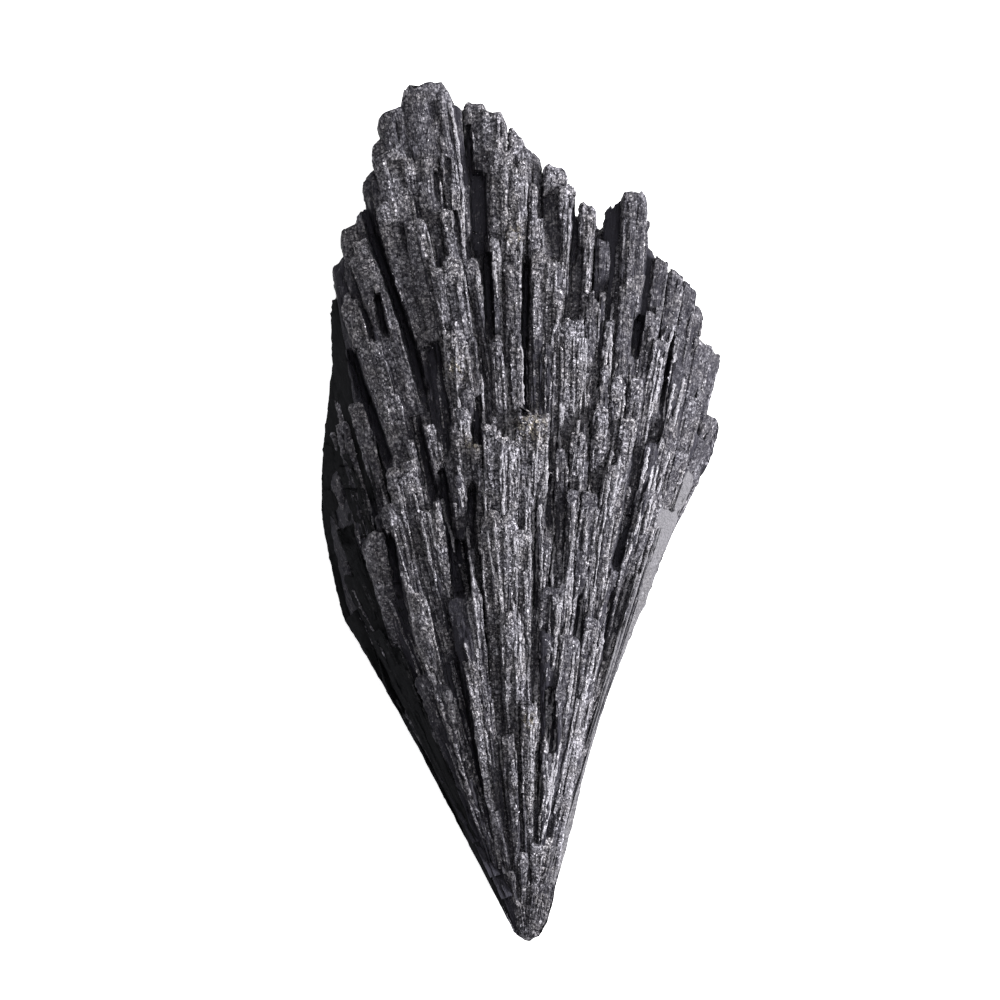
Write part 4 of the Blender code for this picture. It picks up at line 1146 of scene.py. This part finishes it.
def add_math(tree, operation, one, two=None, three=None, clamp=False):
    """A Math node whose inputs are sockets or numbers. Gives its output."""
    node = tree.nodes.new("ShaderNodeMath")
    node.operation = operation
    node.use_clamp = clamp
    for index, value in enumerate((one, two, three)):
        if isinstance(value, bpy.types.NodeSocket):
            tree.links.new(value, node.inputs[index])
        elif value is not None:
            node.inputs[index].default_value = value
    return node.outputs[0]


def add_mix(tree, share, one, two):
    """A Mix node between two colours. Gives its output."""
    node = tree.nodes.new("ShaderNodeMix")
    node.data_type = "RGBA"
    for index, value in ((0, share), (6, one), (7, two)):
        if isinstance(value, bpy.types.NodeSocket):
            tree.links.new(value, node.inputs[index])
        else:
            node.inputs[index].default_value = value
    return node.outputs[2]


def add_noise(tree, place, scale, detail=2.0, roughness=0.5):
    """A noise texture read at a place. Gives its value."""
    node = tree.nodes.new("ShaderNodeTexNoise")
    for socket, value in (("Scale", scale), ("Detail", detail), ("Roughness", roughness)):
        node.inputs[socket].default_value = value
    tree.links.new(place, node.inputs["Vector"])
    return node.outputs[0]


def add_attribute(tree, name):
    """A number that the mesh carries at its points."""
    node = tree.nodes.new("ShaderNodeAttribute")
    node.attribute_name = name
    return node.outputs["Fac"]


def add_group(tree, group, sources):
    """A node that uses a group, its inputs linked by name. Gives its outputs."""
    node = tree.nodes.new("ShaderNodeGroup")
    node.node_tree = group
    for socket, source in sources.items():
        tree.links.new(source, node.inputs[socket])
    return node.outputs


# %% The streaks group
streaks, taken, given = new_group("streaks", [("Map", "vector", None)], [("Lines", "float")])
parts = []
for across_scale, along_scale in ((5.0, 0.30), (11.0, 0.8)):
    stretch = streaks.nodes.new("ShaderNodeMapping")
    stretch.inputs["Scale"].default_value = (across_scale, along_scale, 1)
    streaks.links.new(taken.outputs["Map"], stretch.inputs["Vector"])
    parts.append(add_noise(streaks, stretch.outputs["Vector"], 1.0, detail=3.0))
both = add_math(streaks, "ADD", *parts)
streaks.links.new(add_math(streaks, "MULTIPLY", both, 0.5), given.inputs["Lines"])

# %% The dust group
dust, taken, given = new_group(
    "dust",
    [("Place", "vector", None), ("Crust", "float", 0.5), ("Lines", "float", 0.5)],
    [("Cover", "float"), ("Speckle", "float"), ("Pick", "float"), ("Height", "float")],
)
blotches = add_noise(dust, taken.outputs["Place"], 1300, detail=5, roughness=0.65)
specks, bumps, tones = [], [], []
for cell_scale in (3000, 5800):
    cells = dust.nodes.new("ShaderNodeTexVoronoi")
    cells.inputs["Scale"].default_value = cell_scale
    dust.links.new(taken.outputs["Place"], cells.inputs["Vector"])
    tone = dust.nodes.new("ShaderNodeSeparateColor")
    dust.links.new(cells.outputs["Color"], tone.inputs["Color"])
    ball = add_math(dust, "MULTIPLY_ADD", cells.outputs["Distance"], -1.7, 1.55, clamp=True)
    specks.append(add_math(dust, "MULTIPLY", add_math(dust, "POWER", tone.outputs["Red"], 1.9), ball))
    bumps.append(ball)
    tones.append(tone)
mottle = add_math(dust, "MULTIPLY_ADD", blotches, 1.1, -0.53)
lined = add_math(dust, "SUBTRACT", taken.outputs["Lines"], 0.5)
cover = add_math(dust, "ADD", add_math(dust, "ADD", taken.outputs["Crust"], mottle), lined)
cover = add_math(dust, "MULTIPLY_ADD", cover, 1.4, -0.15, clamp=True)
dust.links.new(cover, given.inputs["Cover"])
speckle = add_math(dust, "MAXIMUM", specks[0], add_math(dust, "MULTIPLY", specks[1], 0.85))
filled = add_noise(dust, taken.outputs["Place"], 4000)
filled = add_math(dust, "MULTIPLY_ADD", filled, 6.5, -2.7, clamp=True)
speckle = add_math(dust, "MULTIPLY", speckle, add_math(dust, "MULTIPLY_ADD", filled, 0.65, 0.35))
dust.links.new(speckle, given.inputs["Speckle"])
dust.links.new(tones[0].outputs["Green"], given.inputs["Pick"])
rough = add_math(dust, "MULTIPLY_ADD", bumps[0], 0.8, add_math(dust, "MULTIPLY", bumps[1], 0.45))
rough = add_math(dust, "ADD", blotches, add_math(dust, "MULTIPLY_ADD", filled, 0.6, rough))
rough = add_math(dust, "MULTIPLY", rough, add_math(dust, "MULTIPLY_ADD", cover, 0.9, 0.1))
dust.links.new(rough, given.inputs["Height"])

# %% The blades' material
DARK = (0.0170, 0.0164, 0.0208, 1)
STAIN_TONES = (0.07, 0.058, 0.042, 1), (0.64, 0.58, 0.45, 1)
WARMER = (1.02, 1.0, 0.94)
ON_STREAKS = (2.4, 2.4, 2.4)
RELIEF_DEPTH = 0.00028


def scaled(tone, factors):
    """A colour with its red, green and blue multiplied."""
    return tuple(value * factor for value, factor in zip(tone, (*factors, 1)))


def crystal_material(name, dark, crust_low, crust_high, shine, mirror, painted_highlight_tone=(0.40, 0.39, 0.425, 1)):
    """Crystal of a dark tone under a crust of grains between two tones. shine is the bare crystal's roughness, mirror
    its specular level, and painted_highlight_tone the colour of a painted highlight, where the crust value is above
    1."""
    material, tree, shader = new_material(name)
    shader.inputs["Specular IOR Level"].default_value = mirror
    where = tree.nodes.new("ShaderNodeTexCoord")
    blade_map = tree.nodes.new("ShaderNodeUVMap")
    blade_map.uv_map = "along"
    crust, stain = add_attribute(tree, "crust"), add_attribute(tree, "stain")
    lines = add_group(tree, streaks, {"Map": blade_map.outputs["UV"]})["Lines"]
    covering = add_group(tree, dust, {"Place": where.outputs["Object"], "Crust": crust, "Lines": lines})
    hue = add_math(tree, "MULTIPLY_ADD", add_noise(tree, where.outputs["Object"], 420), 4.0, -1.5, clamp=True)
    bright = add_mix(tree, hue, crust_high, scaled(crust_high, WARMER))
    grey = add_mix(tree, covering["Speckle"], crust_low, bright)
    # Where the crust value is above 1, the colour is drawn towards one fixed pale tone: a painted highlight.
    painted_highlight = add_math(tree, "SUBTRACT", crust, 1.0, clamp=True)
    grey = add_mix(tree, add_math(tree, "MULTIPLY", painted_highlight, 0.9), grey, painted_highlight_tone)
    stained = add_mix(tree, covering["Speckle"], *STAIN_TONES)
    picked = add_math(tree, "MULTIPLY_ADD", covering["Pick"], 3.0, -1.2, clamp=True)
    picked = add_math(tree, "MULTIPLY", add_math(tree, "MULTIPLY", picked, stain), 0.75)
    warm = add_mix(tree, picked, grey, stained)
    line_tone = add_math(tree, "MULTIPLY_ADD", lines, 2.0, -0.6, clamp=True)
    base = add_mix(tree, line_tone, dark, scaled(dark, ON_STREAKS))
    tree.links.new(add_mix(tree, covering["Cover"], base, warm), shader.inputs["Base Color"])
    rough = add_math(tree, "MULTIPLY_ADD", covering["Cover"], 0.75 - shine, shine)
    tree.links.new(rough, shader.inputs["Roughness"])
    relief = tree.nodes.new("ShaderNodeBump")
    relief.inputs["Distance"].default_value = RELIEF_DEPTH
    relief.inputs["Strength"].default_value = 0.9
    smoother = add_math(tree, "MULTIPLY_ADD", painted_highlight, -0.7, 1.0)
    height = add_math(tree, "MULTIPLY_ADD", lines, 0.7, add_math(tree, "MULTIPLY", covering["Height"], smoother))
    tree.links.new(height, relief.inputs["Height"])
    tree.links.new(relief.outputs["Normal"], shader.inputs["Normal"])
    return material


dress(front_pieces + [rim, underside, body], crystal_material(
    "crusted_tourmaline", DARK, (0.028, 0.0270, 0.0334, 1), (0.64, 0.622, 0.693, 1), 0.42, 0.02,
))
# The right edge's copy of the material turns a crust above 1 into one smooth, even grey: a painted sheen for the band
# that faces the lamp.
dress([edge], crystal_material(
    "pale_tourmaline", DARK, (0.040, 0.0388, 0.0430, 1), (0.33, 0.322, 0.352, 1), 0.42, 0.02,
    painted_highlight_tone=(0.120, 0.117, 0.127, 1),
))
# The flank's copy of the material is darker in every tone, as painted shade for the side away from the lamp, and it
# has no specular.
dress([flank], crystal_material(
    "bare_tourmaline", (0.0092, 0.0094, 0.0102, 1), (0.014, 0.0142, 0.0155, 1), (0.20, 0.195, 0.22, 1), 0.5, 0.0,
))

# %% The grains' material
mica, tree, shader = new_material("mica")
glint, stain = add_attribute(tree, "glint"), add_attribute(tree, "stain")
grey = add_mix(tree, add_math(tree, "POWER", glint, 2.4), (0.07, 0.067, 0.078, 1), (0.72, 0.70, 0.76, 1))
warm = add_mix(tree, add_math(tree, "MULTIPLY", stain, 0.5), grey, (0.60, 0.52, 0.36, 1))
tree.links.new(warm, shader.inputs["Base Color"])
tree.links.new(add_math(tree, "MULTIPLY_ADD", glint, -0.3, 0.55), shader.inputs["Roughness"])
dress([grains], mica)
print("finishes:", [material.name for material in bpy.data.materials])

# %% [markdown]
# ## The studio
# The fan lies on a plain pale floor, seen from straight above through a long lens, so that its outline isn't
# distorted. One large lamp stands low on the right, which rakes over the ridges and leaves the left flank dark, and
# the flank's material deepens that with painted shade. A weak one fills in from above.

# %% Floor, lamps and camera
FLOOR_SIZE = 6
FLOOR_HEIGHT = -0.0001
WHITE = (1, 1, 1, 1)
LAMP_AIM = Vector((0, 0, 0.008))
WORLD_STRENGTH = 0.13
VIEW_MIDDLE = (-0.0017, 0.0012)
MIDDLE_HEIGHT = 0.007
CAMERA_DISTANCE = 1.0
VIEW_WIDTH = 0.1
SENSOR = 36

bpy.ops.object.select_all(action="DESELECT")
bpy.ops.mesh.primitive_plane_add(size=FLOOR_SIZE, location=(0, 0, FLOOR_HEIGHT))
floor = bpy.context.object
floor.name = "floor"
floor_material, _, shader = new_material("floor_white")
for socket, value in (
    ("Base Color", (0.86, 0.86, 0.86, 1)), ("Roughness", 0.9), ("Emission Color", WHITE), ("Emission Strength", 0.9),
):
    shader.inputs[socket].default_value = value
dress([floor], floor_material)


def add_lamp(name, place, size, power):
    """A square area lamp that faces the fan."""
    data = bpy.data.lights.new(name, "AREA")
    data.size = size
    data.energy = power
    lamp = bpy.data.objects.new(name, data)
    lamp.location = place
    lamp.rotation_euler = (LAMP_AIM - Vector(place)).to_track_quat("-Z", "Y").to_euler()
    bpy.context.scene.collection.objects.link(lamp)


add_lamp("key", (0.60, 0.04, 0.36), 0.24, 14.6)
add_lamp("top", (0.16, 0.24, 0.80), 0.50, 5.2)
world = bpy.data.worlds.new("studio")
world.use_nodes = True
background = world.node_tree.nodes["Background"]
background.inputs["Color"].default_value = WHITE
background.inputs["Strength"].default_value = WORLD_STRENGTH
bpy.context.scene.world = world
bpy.context.scene.view_settings.view_transform = "Standard"

camera_data = bpy.data.cameras.new("camera")
camera_data.sensor_width = SENSOR
camera_data.lens = SENSOR * CAMERA_DISTANCE / VIEW_WIDTH
camera_data.clip_start = 0.01
camera = bpy.data.objects.new("camera", camera_data)
camera.location = (*VIEW_MIDDLE, MIDDLE_HEIGHT + CAMERA_DISTANCE)
bpy.context.scene.collection.objects.link(camera)
bpy.context.scene.camera = camera
print("camera", round(camera_data.lens), "mm lens,", CAMERA_DISTANCE, "m above the middle of the fan")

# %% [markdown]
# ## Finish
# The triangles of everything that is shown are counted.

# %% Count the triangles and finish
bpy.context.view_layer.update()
shown = [shape for shape in bpy.data.objects if shape.type == "MESH" and not shape.hide_render]
print(sum(len(face.vertices) - 2 for shape in shown for face in shape.data.polygons), "triangles in all")
